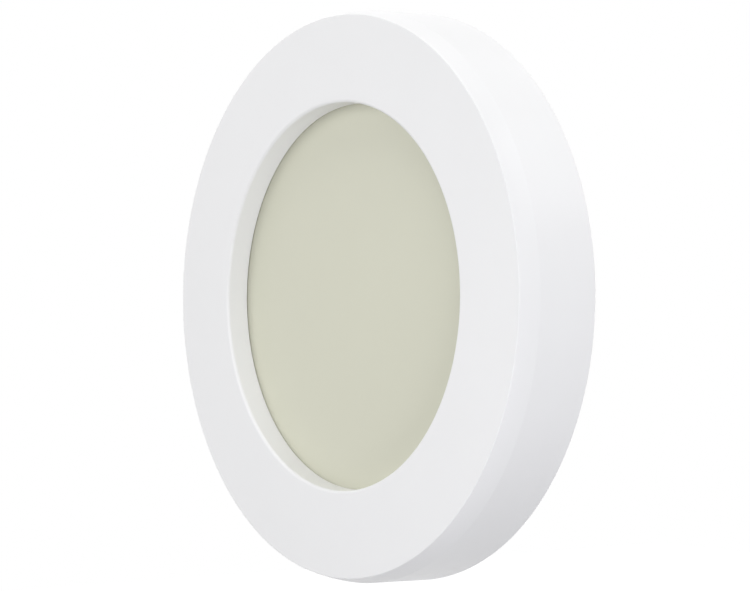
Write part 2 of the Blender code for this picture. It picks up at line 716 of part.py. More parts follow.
def reflector(holder):
    """Thin cone round the LED board that throws stray light forward."""
    top = LENS_BACK - REFLECTOR_CLEAR_OF_LENS
    top_radius = CUP_INNER - REFLECTOR_CLEAR_OF_CUP
    return turned("reflector", holder, [
        (REFLECTOR_BASE_RADIUS, LED_BASE),
        (REFLECTOR_BASE_RADIUS + REFLECTOR_WALL, LED_BASE),
        (top_radius, top),
        (top_radius - REFLECTOR_WALL, top),
    ], SHELL_SEGMENTS)


def lens(holder):
    """Flat frosted lens with a small chamfer at both edges."""
    return turned("lens", holder, [
        (0.0, LENS_BACK),
        (LENS_RADIUS - LENS_CHAMFER, LENS_BACK),
        (LENS_RADIUS, LENS_BACK + LENS_CHAMFER),
        (LENS_RADIUS, LENS_FACE - LENS_CHAMFER),
        (LENS_RADIUS - LENS_CHAMFER, LENS_FACE),
        (0.0, LENS_FACE),
    ], SHELL_SEGMENTS)


def lens_gasket(holder):
    """Rubber channel that wraps the lens's rim."""
    groove = LENS_RADIUS + FIT
    back = LENS_BACK - FIT
    face = LENS_FACE + FIT
    return turned("lens_gasket", holder, [
        (GASKET_INNER, back - GASKET_LIP),
        (GASKET_OUTER, back - GASKET_LIP),
        (GASKET_OUTER, GASKET_FRONT),
        (GASKET_INNER, GASKET_FRONT),
        (GASKET_INNER, face),
        (groove, face),
        (groove, back),
        (GASKET_INNER, back),
    ], SHELL_SEGMENTS)


def clamp_ring(holder):
    """Flat steel ring that presses the gasket on the lens."""
    ring = turned("clamp_ring", holder, [
        (GASKET_INNER, CLAMP_BACK),
        (FLANGE_RADIUS, CLAMP_BACK),
        (FLANGE_RADIUS, CLAMP_TOP),
        (GASKET_INNER, CLAMP_TOP),
    ], SHELL_SEGMENTS)
    holes = [
        cylinder(
            f"clamp_hole_{i}", holder, CLAMP_PILOT, CLAMP_BACK - OVERSHOOT,
            CLAMP_TOP + OVERSHOOT, polar(SCREW_CIRCLE, angle), SCREW_SIDES,
        )
        for i, angle in enumerate(clamp_angles())
    ]
    return combine(ring, holes, "DIFFERENCE")


def bezel_clip(number, angle, holder):
    """Bent steel strip that springs out in front of the bezel's bead."""
    foot = CLIP_BACK + CLIP_THICKNESS / 2
    shoulder = foot - CLIP_LEG
    path = [
        (SCREW_CIRCLE - CLIP_FOOT, foot),
        (CLIP_RADIUS, foot),
        (CLIP_RADIUS, shoulder),
        (CLIP_RADIUS + CLIP_HUMP, shoulder - CLIP_SLOPE),
        (CLIP_RADIUS, shoulder - 2 * CLIP_SLOPE),
    ]
    name = f"bezel_clip_{number}"
    outline = strip_outline(path, CLIP_THICKNESS)
    clip = prism(name, holder, outline, CLIP_WIDTH, angle)
    hole = cylinder(
        f"{name}_hole", holder, CLAMP_PILOT, CLIP_BACK - OVERSHOOT, CLIP_TOP + OVERSHOOT,
        polar(SCREW_CIRCLE, angle), SCREW_SIDES,
    )
    return combine(clip, [hole], "DIFFERENCE")


def shoulder_arc():
    """Crowned shoulder from the front face to the side, as (radius, depth) points.

    A quadratic curve whose middle stands SHOULDER_CROWN proud of the line between its ends.
    """
    start = Vector((SIDE_RADIUS - SHOULDER_INSET, FRONT))
    end = Vector((SIDE_RADIUS, FRONT - SHOULDER_DEPTH))
    proud = Vector((SHOULDER_DEPTH, SHOULDER_INSET)).normalized()
    knee = (start + end) / 2 + proud * (2 * SHOULDER_CROWN)
    steps = [i / SHOULDER_STEPS for i in range(SHOULDER_STEPS + 1)]
    return [(1 - t) ** 2 * start + 2 * t * (1 - t) * knee + t * t * end for t in steps]


def bead_depth(radius):
    """Depth of the bezel's bead at a radius, on a line along the back of the clips' hump."""
    slope = CLIP_SLOPE / CLIP_HUMP
    hump = CLIP_BACK + CLIP_THICKNESS / 2 - CLIP_LEG - CLIP_SLOPE
    set_back = (CLIP_THICKNESS / 2 + FIT) * math.hypot(1.0, slope)
    return hump - (CLIP_RADIUS + CLIP_HUMP - radius) * slope - set_back


def bezel(holder):
    """White ring that hides the clamp and the wall plate, held by the clips."""
    lip_arc = [
        (OPENING_RADIUS + LIP_FILLET * (1 - math.cos(t)), FRONT - LIP_FILLET * (1 - math.sin(t)))
        for t in (math.pi / 2 * i / FILLET_STEPS for i in range(FILLET_STEPS + 1))
    ]
    bead_bottom = bead_depth(BEAD_INNER) - BEAD_HEIGHT
    ring = turned("bezel", holder, [
        (OPENING_RADIUS, LIP_BOTTOM),
        *lip_arc,
        *shoulder_arc(),
        (BACK_RADIUS, WALL_GAP),
        (BACK_RADIUS - SIDE_WALL, WALL_GAP),
        (SIDE_INNER, FRONT_INSIDE),
        (RIB_OUTER, FRONT_INSIDE),
        (RIB_OUTER, bead_bottom),
        (BEAD_INNER, bead_bottom),
        (BEAD_INNER, bead_depth(BEAD_INNER)),
        (RIB_INNER, bead_depth(RIB_INNER)),
        (RIB_INNER, FRONT_INSIDE),
        (LIP_OUTER, FRONT_INSIDE),
        (LIP_OUTER, LIP_BOTTOM),
    ], BEZEL_SEGMENTS)
    web_middle = (RIB_OUTER + SIDE_INNER) / 2
    size = (RIM_SPACE + 2 * WEB_BITE, WEB_THICKNESS, WEB_DEPTH + WEB_BITE)
    webs = [
        block(
            f"web_{i}", holder, size, FRONT_INSIDE - WEB_DEPTH, polar(web_middle, angle), angle,
        )
        for i, angle in enumerate(ring_angles(WEB_COUNT, math.pi / WEB_COUNT))
    ]
    return combine(ring, webs, "UNION")


def main():
    """Build every piece on the empty that carries its body."""
    clear_scene()
    white = finish_material("gloss_white_plastic", (0.84, 0.84, 0.85), 0.25)
    grey = finish_material("grey_plastic", (0.55, 0.56, 0.57), 0.5)
    frosted = finish_material("frosted_lens", (0.62, 0.62, 0.52), 0.4)
    rubber = finish_material("black_rubber", (0.03, 0.03, 0.03), 0.8)
    steel = finish_material("stainless_steel", (0.62, 0.62, 0.60), 0.3, 1.0)
    aluminium = finish_material("aluminium", (0.77, 0.78, 0.78), 0.4, 1.0)
    board_green = finish_material("green_board", (0.03, 0.18, 0.07), 0.5)
    board_white = finish_material("white_board", (0.80, 0.80, 0.78), 0.4)
    black = finish_material("black_moulding", (0.03, 0.03, 0.03), 0.5)
    terminal_green = finish_material("green_moulding", (0.05, 0.30, 0.12), 0.5)
    amber = finish_material("amber_silicone", (0.85, 0.60, 0.10), 0.2)
    red = finish_material("red_insulation", (0.50, 0.03, 0.03), 0.5)

    wall = empty("wall_frame")
    wall.rotation_euler.x = math.pi / 2
    lamp = empty("lamp_axis", wall)
    cover = empty("bezel_axis", lamp)

    dress(wall_bracket(wall), white)
    dress(rear_shell(lamp), grey)
    grommet_top = GROMMET_BACK + GROMMET_LENGTH
    dress(gland_ring("cable_grommet", lamp, GROMMET_BORE, GROMMET_BACK, grommet_top), rubber)
    washer_top = WASHER_BACK + WASHER_THICKNESS
    dress(gland_ring("gland_washer", lamp, GLAND_HOLE, WASHER_BACK, washer_top), steel)
    dress(gland_plug(lamp), black)

    dress(driver_board(lamp), board_green)
    dress(terminal_block(lamp), terminal_green)
    dress(bridge_rectifier(lamp), black)
    dress(inductor(lamp), black)
    for number, place in enumerate(CAPACITOR_PLACES, 1):
        dress(capacitor(number, place, lamp), aluminium)
    board_head = (BOARD_HEAD_RADIUS, BOARD_HEAD_HEIGHT)
    driver_tip = FLOOR_TOP - DRIVER_PILOT_DEPTH + FIT
    for number, at in enumerate(driver_screw_places(), 1):
        name = f"driver_screw_{number}"
        dress(screw(name, lamp, at, COMPONENT_BASE, driver_tip, BOARD_SHANK_RADIUS, board_head), steel)

    dress(round_board("heat_spreader", lamp, SPREADER_RADIUS, SPREADER_BACK, SPREADER_TOP), aluminium)
    dress(round_board("led_board", lamp, LED_BOARD_RADIUS, LED_BOARD_BACK, LED_BOARD_TOP), board_white)
    for number, at in enumerate(led_places(), 1):
        dress(led(number, at, lamp), amber)
    dress(lead("lead_red", -1, lamp), red)
    dress(lead("lead_black", 1, lamp), black)
    post_tip = POST_TOP - POST_PILOT_DEPTH + FIT
    for number, angle in enumerate(ring_angles(POST_COUNT), 1):
        at = polar(POST_CIRCLE, angle)
        name = f"board_screw_{number}"
        dress(screw(name, lamp, at, LED_BASE, post_tip, BOARD_SHANK_RADIUS, board_head), steel)
    dress(reflector(lamp), board_white)

    dress(lens(lamp), frosted)
    dress(lens_gasket(lamp), rubber)
    dress(clamp_ring(lamp), steel)
    clips = clip_angles()
    for number, angle in enumerate(clips, 1):
        dress(bezel_clip(number, angle, lamp), steel)
    clamp_head = (CLAMP_HEAD_RADIUS, CLAMP_HEAD_HEIGHT)
    clamp_tip = FLANGE_BOTTOM - BOSS_LENGTH + OVERSHOOT + FIT
    for number, angle in enumerate(clamp_angles(), 1):
        seat = (CLIP_TOP if angle in clips else CLAMP_TOP) + FIT
        at = polar(SCREW_CIRCLE, angle)
        name = f"clamp_screw_{number}"
        dress(screw(name, lamp, at, seat, clamp_tip, CLAMP_SHANK_RADIUS, clamp_head), steel)

    dress(bezel(cover), white)


main()
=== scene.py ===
"""Looks of a slim underwater pool light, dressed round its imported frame.

Metres, +Z up. The pool wall is the plane y = 0 and the light faces -Y. Most pieces are turned on
the light's axis, so an outline is rows of (radius, depth), with depth counted forward from the
wall. Angles run anticlockwise from +X, as seen from the pool.
"""

import logging
import math
from dataclasses import dataclass
from enum import Enum

import bmesh
import bpy
import numpy as np
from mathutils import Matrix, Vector, geometry

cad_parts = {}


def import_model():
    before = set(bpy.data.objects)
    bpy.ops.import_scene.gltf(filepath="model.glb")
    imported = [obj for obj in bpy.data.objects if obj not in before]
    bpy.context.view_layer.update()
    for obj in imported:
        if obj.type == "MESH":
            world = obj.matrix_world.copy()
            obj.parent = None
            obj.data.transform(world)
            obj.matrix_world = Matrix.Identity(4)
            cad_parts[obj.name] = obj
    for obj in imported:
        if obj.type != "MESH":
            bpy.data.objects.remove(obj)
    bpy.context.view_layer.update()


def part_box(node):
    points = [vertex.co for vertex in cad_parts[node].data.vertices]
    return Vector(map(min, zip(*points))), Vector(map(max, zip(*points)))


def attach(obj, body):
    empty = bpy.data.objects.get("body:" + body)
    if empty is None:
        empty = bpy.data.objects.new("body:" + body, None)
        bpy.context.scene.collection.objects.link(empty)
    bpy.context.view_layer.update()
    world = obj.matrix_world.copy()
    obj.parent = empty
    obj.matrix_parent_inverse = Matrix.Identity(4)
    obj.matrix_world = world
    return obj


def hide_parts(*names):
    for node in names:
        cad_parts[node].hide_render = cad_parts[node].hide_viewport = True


LOG = logging.getLogger("pool_light")

# Mesh fineness
RIM_SEGMENTS = 288
RING_SEGMENTS = 224
BORE_SEGMENTS = 72
POST_SEGMENTS = 32
WIRE_SEGMENTS = 18
ROUND_STEPS = 5
ARC_STEPS = 2
CURVE_STEPS = 14
THREAD_STEPS = 8
SHARP_ANGLE = math.radians(38.0)

# Limits that keep outlines and meshes sound
GUARD = 0.00025
GUARD_SHARE = 0.3
ROUND_LIMIT = 0.45
MERGE_DISTANCE = 1e-7
TINY = 1e-9
TRIANGLES_INSIDE = 1

# Clearance between pieces that touch, and how far a cutting shape passes through
FIT = 0.0003
OVERSHOOT = 0.0010

# Part of a noise's range that is spread over a finish's values
NOISE_RANGE = (0.3, 0.7)
NOISE_ROUGHNESS = 0.55
WHITE = (1.0, 1.0, 1.0, 1.0)

Pair = tuple[float, float]
Place = Pair
Triple = tuple[float, float, float]
Colour = Triple
Loop = tuple[np.ndarray, np.ndarray]
Socket = bpy.types.NodeSocket


class Body(Enum):
    """Bodies of the frame that a piece can ride on."""

    BRACKET = "bracket"
    LAMP = "lamp"
    BEZEL = "bezel"


class Cut(Enum):
    """Ways in which a tool shape works on a piece."""

    JOIN = "UNION"
    REMOVE = "DIFFERENCE"


@dataclass(frozen=True)
class Surface:
    """Points of one or more closed shapes, and arrays of faces that have the same corner count."""

    points: np.ndarray
    faces: list[np.ndarray]

    def moved(self, x: float, z: float) -> "Surface":
        """Copy moved across the wall."""
        return Surface(self.points + np.array((x, 0.0, z)), self.faces)

    def spun(self, angle: float) -> "Surface":
        """Copy turned round the light's axis.

        Args:
            angle: How far it is turned.

        Returns:
            The copy.
        """
        cos, sin = math.cos(angle), math.sin(angle)
        turn = np.array(((cos, 0.0, sin), (0.0, 1.0, 0.0), (-sin, 0.0, cos)))
        return Surface(self.points @ turn, self.faces)


@dataclass(frozen=True)
class Span:
    """Middle and half sizes of a node across the wall, and its depths, from its box."""

    x: float
    z: float
    radius: float
    rise: float
    back: float
    front: float

    @classmethod
    def of(cls, node: str) -> "Span":
        """Read the span of a node.

        Args:
            node: Its name in the frame.

        Returns:
            Its span at rest.
        """
        low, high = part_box(node)
        middle, half = (high + low) / 2.0, (high - low) / 2.0
        return cls(middle.x, middle.z, half.x, half.z, -high.y, -low.y)

    @property
    def angle(self) -> float:
        """Angle of the node's middle round the light's axis."""
        return math.atan2(self.z, self.x)

    @property
    def at(self) -> Place:
        """Middle of the node across the wall."""
        return self.x, self.z


def numbered(stem: str, count: int, digits: int = 1) -> list[str]:
    """Names of nodes that are counted from 1."""
    return [f"{stem}_{i:0{digits}d}" for i in range(1, count + 1)]


def evenly(count: int, first: float = 0.0) -> np.ndarray:
    """Angles spaced evenly round the axis, from a first one."""
    return first + 2.0 * math.pi * np.arange(count) / count


def unit(vectors: np.ndarray) -> np.ndarray:
    """Vectors of length one along the last axis."""
    return vectors / np.maximum(np.linalg.norm(vectors, axis=-1, keepdims=True), TINY)


def fresh(outline: np.ndarray) -> np.ndarray:
    """Which points of a closed outline don't repeat the one before them."""
    return np.linalg.norm(outline - np.roll(outline, 1, axis=0), axis=1) > MERGE_DISTANCE


def rounded(corners: list[Triple], steps: int = ROUND_STEPS) -> np.ndarray:
    """Closed outline with a round at every corner.

    Each round is a circular arc that touches both edges. With half the corner's angle h, it
    starts r / tan(h) from the corner and its centre lies r / sin(h) along the bisector. A guard
    point on each side keeps the flats beside it flat when they are shaded.

    Args:
        corners: Rows of (radius, depth, round); a round of 0 leaves the point as it is.
        steps: Edges along each round.

    Returns:
        Points of the outline, in the order of the corners.
    """
    table = np.array(corners, float)
    place, size = table[:, :2], table[:, 2]
    ahead = np.roll(place, -1, axis=0) - place
    behind = np.roll(place, 1, axis=0) - place
    length = np.linalg.norm(ahead, axis=1)
    shorter = np.minimum(length, np.roll(length, 1))
    u, v = unit(behind), unit(ahead)
    half = 0.5 * np.arccos(np.clip((u * v).sum(1), -1.0, 1.0))
    reach = np.minimum(size / np.tan(half), ROUND_LIMIT * shorter)
    radius = reach * np.tan(half)
    centre = place + unit(u + v) * (radius / np.sin(half))[:, None]
    turn = (math.pi - 2.0 * half)[:, None, None]
    share = np.linspace(0.0, 1.0, steps + 1)[None, :, None]
    start, end = place + u * reach[:, None], place + v * reach[:, None]
    arc = centre[:, None] + (
        np.sin((1.0 - share) * turn) * (start - centre)[:, None]
        + np.sin(share * turn) * (end - centre)[:, None]
    ) / np.maximum(np.sin(turn), TINY)
    round_here = size > 0.0
    arc = np.where(round_here[:, None, None], arc, place[:, None])
    room = np.maximum(length - reach - np.roll(reach, -1), 0.0)
    gap = np.minimum(GUARD, GUARD_SHARE * room)
    lead = start + u * (np.roll(gap, 1) * round_here)[:, None]
    trail = end + v * (gap * round_here)[:, None]
    outline = np.concatenate([lead[:, None], arc, trail[:, None]], 1).reshape(-1, 2)
    return outline[fresh(outline)]


def block(inner: float, outer: float, back: float, front: float, edge: float) -> np.ndarray:
    """Four-cornered outline with rounded corners; at an inner radius of 0 it starts on the axis."""
    near = edge if inner else 0.0
    return rounded([
        (inner, back, near), (outer, back, edge), (outer, front, edge), (inner, front, near),
    ])


def inset(outline: np.ndarray, amounts: np.ndarray) -> np.ndarray:
    """Copies of a closed outline drawn in by several amounts.

    Each point moves by a (m + n) / (1 + m.n), where m and n are the inward normals of its edges.

    Args:
        outline: Points of the outline.
        amounts: How far each copy is drawn in.

    Returns:
        Array of (copy, point, 2).
    """
    along = np.roll(outline, -1, axis=0) - outline
    x, y = outline.T
    side = np.sign((x * np.roll(y, -1) - np.roll(x, -1) * y).sum())
    normal = side * unit(np.stack([-along[:, 1], along[:, 0]], 1))
    before = np.roll(normal, 1, axis=0)
    shift = (normal + before) / (1.0 + (normal * before).sum(1))[:, None]
    return outline[None] + amounts[:, None, None] * shift[None]


def grid_faces(rows: int, columns: int, wrap: bool) -> np.ndarray:
    """Quads of a grid whose columns close on themselves.

    Args:
        rows: Rows of points.
        columns: Points in a row.
        wrap: Whether the last row joins the first.

    Returns:
        Point numbers of each quad.
    """
    i = np.arange(rows if wrap else rows - 1)[:, None]
    j = np.arange(columns)[None]
    below, right = (i + 1) % rows * columns, (j + 1) % columns
    corners = np.broadcast_arrays(i * columns + j, below + j, below + right, i * columns + right)
    return np.stack(corners, -1).reshape(-1, 4)


def turned(outline: np.ndarray, segments: int, groove: np.ndarray | float = 0.0) -> Surface:
    """Outline turned round the axis: x = (r - g) cos a, y = -d, z = (r - g) sin a.

    Args:
        outline: Rows of (radius, depth), closed, or from the axis to the axis.
        segments: Steps round the axis.
        groove: How far each point of (row, segment) is sunk.

    Returns:
        The turned shape.
    """
    angle = evenly(segments)[None]
    radius = outline[:, :1] - groove
    xyz = np.broadcast_arrays(radius * np.cos(angle), -outline[:, 1:], radius * np.sin(angle))
    wrap = bool(outline[:, 0].min() > MERGE_DISTANCE)
    return Surface(np.stack(xyz, -1).reshape(-1, 3), [grid_faces(len(outline), segments, wrap)])


def lofted(sections: np.ndarray) -> Surface:
    """Bar through rings of points, with a flat face at both ends.

    Args:
        sections: Array of (ring, point, xyz).

    Returns:
        The bar.
    """
    rings, size = sections.shape[:2]
    ends = np.arange(rings * size).reshape(rings, size)[[0, -1]]
    return Surface(sections.reshape(-1, 3), [grid_faces(rings, size, False), ends])


def quarter_round(edge: float) -> tuple[np.ndarray, np.ndarray]:
    """Steps of a quarter circle: sunk e (1 - cos t), and drawn in e (1 - sin t)."""
    t = np.linspace(0.0, math.pi / 2.0, ROUND_STEPS)
    return edge * (1.0 - np.cos(t)), edge * (1.0 - np.sin(t))


def end_rounds(length: float, edge: float, steps: int = 1) -> tuple[np.ndarray, np.ndarray]:
    """Stations along a bar, and how far its section is drawn in at each to round its ends.

    Args:
        length: Length of the bar.
        edge: Radius of the quarter circle at both ends.
        steps: Even steps between the two rounds.

    Returns:
        Places along the bar, and insets there.
    """
    along, drawn_in = quarter_round(edge)
    run = np.linspace(edge, length - edge, steps + 1)[1:-1]
    return (
        np.concatenate([along, run, length - along[::-1]]),
        np.concatenate([drawn_in, 0.0 * run, drawn_in[::-1]]),
    )


def prism(outline: np.ndarray, width: float, edge: float) -> Surface:
    """Outline made into a straight bar across the +X ray: x = r, y = -d.

    Args:
        outline: Closed rows of (radius, depth).
        width: Length of the bar along z, with z = 0 in its middle.
        edge: Radius of the rounds at both ends.

    Returns:
        The bar.
    """
    along, drawn_in = end_rounds(width, edge)
    flat = inset(outline, drawn_in)
    z = np.broadcast_to((along - width / 2.0)[:, None], flat.shape[:2])
    return lofted(np.stack([flat[..., 0], -flat[..., 1], z], -1))


def sector(outline: np.ndarray, start: float, span: float, edge: float) -> Surface:
    """Outline carried along an arc round the axis: x = r cos a, y = -d, z = r sin a.

    Args:
        outline: Closed rows of (radius, depth).
        start: Angle at which the arc starts.
        span: Angle that it covers.
        edge: Radius of the rounds at both ends.

    Returns:
        The curved bar.
    """
    reach = outline[:, 0].mean()
    along, drawn_in = end_rounds(span * reach, edge, max(ARC_STEPS, round(math.degrees(span))))
    flat = inset(outline, drawn_in)
    angle = (start + along / reach)[:, None]
    radius, depth = flat[..., 0], flat[..., 1]
    return lofted(np.stack([radius * np.cos(angle), -depth, radius * np.sin(angle)], -1))


def tube(path: np.ndarray, radius: float, height: float) -> Surface:
    """Round wire along a path of (x, depth) in the plane z = height.

    Its points are p + r (n cos a + k sin a), with n across the path in its plane and k up.

    Args:
        path: Points of the wire's middle.
        radius: Radius of the wire.
        height: Height of its plane.

    Returns:
        The wire.
    """
    along = unit(np.gradient(path, axis=0))
    angle = evenly(WIRE_SEGMENTS)[None]
    x = path[:, :1] - radius * np.cos(angle) * along[:, 1:]
    depth = path[:, 1:] + radius * np.cos(angle) * along[:, :1]
    z = np.broadcast_to(height + radius * np.sin(angle), x.shape)
    return lofted(np.stack([x, -depth, z], -1))


def strip(path: np.ndarray, thickness: float) -> np.ndarray:
    """Outline of a bent sheet: its middle path shifted both ways along its normals.

    Args:
        path: Rows of (radius, depth) along the middle of the sheet.
        thickness: Thickness of the sheet.

    Returns:
        Closed rows of (radius, depth).
    """
    along = unit(np.gradient(path, axis=0))
    side = np.stack([-along[:, 1], along[:, 0]], 1) * thickness / 2.0
    return np.concatenate([path + side, (path - side)[::-1]])


def rect_loop(
    width: float, height: float, corner: float, at: Place,
    hole: bool = False, turn: float = 0.0, segments: int = POST_SEGMENTS,
) -> Loop:
    """Edge of a plate or a slot: a rectangle with a quarter circle at each corner.

    Args:
        width: Size along x, before it is turned.
        height: Size along z.
        corner: Radius of the corners.
        at: Its centre, as x and z.
        hole: Whether the material lies outside it.
        turn: Angle by which it is turned.
        segments: Steps in the four corners together.

    Returns:
        Its points, and the normals that point out of the material.
    """
    quarter = np.linspace(0.0, math.pi / 2.0, segments // 4 + 1)
    angle = (quarter[None] + np.arange(4)[:, None] * math.pi / 2.0).ravel()
    side = np.repeat([(1, 1), (-1, 1), (-1, -1), (1, -1)], len(quarter), axis=0)
    out = np.stack([np.cos(angle), np.sin(angle)], 1)
    flat = corner * out + side * (np.array((width, height)) / 2.0 - corner)
    kept = fresh(flat)
    cos, sin = math.cos(turn), math.sin(turn)
    spin = np.array(((cos, sin), (-sin, cos)))
    return np.array(at) + flat[kept] @ spin, (out[kept] @ spin) * (-1.0 if hole else 1.0)


def circle_loop(radius: float, segments: int, at: Place = (0.0, 0.0), hole: bool = True) -> Loop:
    """Round edge of a plate or a hole: a rectangle that is all corner."""
    return rect_loop(2.0 * radius, 2.0 * radius, radius, at, hole, segments=segments)


def enclosed(points: np.ndarray, edges: np.ndarray) -> np.ndarray:
    """Which points lie in a plate's material: a ray from there crosses an odd count of edges.

    Args:
        points: Points across the plate, (point, 2).
        edges: Ends of every edge of its loops, (edge, 2, 2).

    Returns:
        True for each point in the material.
    """
    x, y = points[:, :1], points[:, 1:]
    (x0, y0), (x1, y1) = edges[:, 0].T, edges[:, 1].T
    spans = (y0 > y) != (y1 > y)
    rise = np.where(y1 == y0, 1.0, y1 - y0)
    return (spans & (x < x0 + (y - y0) * (x1 - x0) / rise)).sum(1) % 2 == 1


def plate(loops: list[Loop], back: float, front: float, edge: float) -> Surface:
    """Flat sheet between two depths, with holes and with rounded edges.

    Each loop carries a section made of two quarter circles, and the faces between the loops are
    triangles.

    Args:
        loops: Points and outward normals of the outer edge and of each hole.
        back: Depth of the back face.
        front: Depth of the front face.
        edge: Radius of the rounds.

    Returns:
        The sheet.
    """
    sunk, drawn_in = quarter_round(edge)
    rim = edge + GUARD
    insets = np.concatenate([[rim], drawn_in, drawn_in[::-1], [rim]])
    depths = np.concatenate([[front], front - sunk, back + sunk[::-1], [back]])
    rows = len(depths)
    bands, quads, edges, fronts, backs = [], [], [], [], []
    total = first = 0
    for place, normal in loops:
        count = len(place)
        number = np.arange(count)
        flat = place[None] - normal[None] * insets[:, None, None]
        y = np.broadcast_to(-depths[:, None], flat.shape[:2])
        bands.append(np.stack([flat[..., 0], y, flat[..., 1]], -1))
        quads.append(grid_faces(rows, count, False) + total)
        edges.append(first + np.stack([number, np.roll(number, -1)], 1))
        fronts.append(total + number)
        backs.append(total + (rows - 1) * count + number)
        total += rows * count
        first += count
    flat = np.concatenate([band[0][:, ::2] for band in bands])
    ends = np.concatenate(edges)
    corners = [Vector(point) for point in flat]
    _, _, triangles, sources, _, _ = geometry.delaunay_2d_cdt(
        corners, ends.tolist(), [], TRIANGLES_INSIDE, TINY,
    )
    origin = np.array([numbers[0] for numbers in sources])
    caps = origin[np.array(triangles)]
    caps = caps[enclosed(flat[caps].mean(1), flat[ends])]
    points = np.concatenate([band.reshape(-1, 3) for band in bands])
    return Surface(points, [*quads, np.concatenate(fronts)[caps], np.concatenate(backs)[caps]])


def merged(surfaces: list[Surface]) -> Surface:
    """Several shapes as one.

    Args:
        surfaces: The shapes.

    Returns:
        Their points in one array, with the faces renumbered.
    """
    starts = np.cumsum([0] + [len(s.points) for s in surfaces])
    faces = [face + start for s, start in zip(surfaces, starts) for face in s.faces]
    return Surface(np.concatenate([s.points for s in surfaces]), faces)


def pegs(
    places: list[Place], radius: float, back: float, front: float, edge: float = 0.0,
) -> Surface:
    """Round pegs between two depths, one at each place."""
    peg = turned(block(0.0, radius, back, front, edge), POST_SEGMENTS)
    return merged([peg.moved(*place) for place in places])


def tidy_mesh(mesh: bpy.types.Mesh) -> None:
    """Weld a mesh's doubles, fill its pinholes, point its faces outward and shade it smooth.

    Args:
        mesh: The mesh, which is changed.
    """
    bm = bmesh.new()
    bm.from_mesh(mesh)
    bmesh.ops.remove_doubles(bm, verts=bm.verts[:], dist=MERGE_DISTANCE)
    bmesh.ops.holes_fill(bm, edges=bm.edges[:], sides=0)
    bmesh.ops.recalc_face_normals(bm, faces=bm.faces[:])
    bm.to_mesh(mesh)
    bm.free()
    mesh.shade_smooth()
    mesh.set_sharp_from_angle(angle=SHARP_ANGLE)


def solid(name: str, surface: Surface) -> bpy.types.Object:
    """Object of a shape, at the origin, with its place in its mesh.

    Args:
        name: Name of the piece.
        surface: Its shape.

    Returns:
        The piece.
    """
    mesh = bpy.data.meshes.new(name)
    faces = [corners for group in surface.faces for corners in group.tolist()]
    mesh.from_pydata(surface.points.tolist(), [], faces)
    tidy_mesh(mesh)
    piece = bpy.data.objects.new(name, mesh)
    bpy.context.scene.collection.objects.link(piece)
    return piece


def worked(piece: bpy.types.Object, tool: Surface, cut: Cut) -> bpy.types.Object:
    """Join a tool shape to a piece, or cut it out.

    Args:
        piece: The piece, whose mesh is replaced.
        tool: Closed shapes that don't overlap each other.
        cut: What the tool does.

    Returns:
        The piece.
    """
    helper = solid(f"{piece.name}_tool", tool)
    modifier = piece.modifiers.new(cut.name.title(), "BOOLEAN")
    modifier.operation = cut.value
    modifier.object = helper
    modifier.solver = "EXACT"
    graph = bpy.context.evaluated_depsgraph_get()
    mesh = bpy.data.meshes.new_from_object(piece.evaluated_get(graph))
    piece.modifiers.clear()
    rough, piece.data = piece.data, mesh
    mesh.name = piece.name
    bpy.data.meshes.remove(rough)
    bpy.data.objects.remove(helper)
    tidy_mesh(mesh)
    return piece


def feed(tree: bpy.types.NodeTree, node: bpy.types.Node, inputs: dict) -> None:
    """Set a node's inputs, or link them where a socket is given.

    Args:
        tree: Tree that holds the node.
        node: The node.
        inputs: Values or sockets, by the name or number of the input.
    """
    for key, value in inputs.items():
        if isinstance(value, Socket):
            tree.links.new(value, node.inputs[key])
        else:
            node.inputs[key].default_value = value


def add_node(
    tree: bpy.types.NodeTree, kind: str, inputs: dict, **settings: object,
) -> bpy.types.Node:
    """Add a shader node to a tree.

    Args:
        tree: Where it goes.
        kind: Its type, without the prefix that all of them share.
        inputs: Values or sockets for its inputs.
        settings: Its properties.

    Returns:
        The node.
    """
    node = tree.nodes.new(f"ShaderNode{kind}")
    for key, value in settings.items():
        setattr(node, key, value)
    feed(tree, node, inputs)
    return node


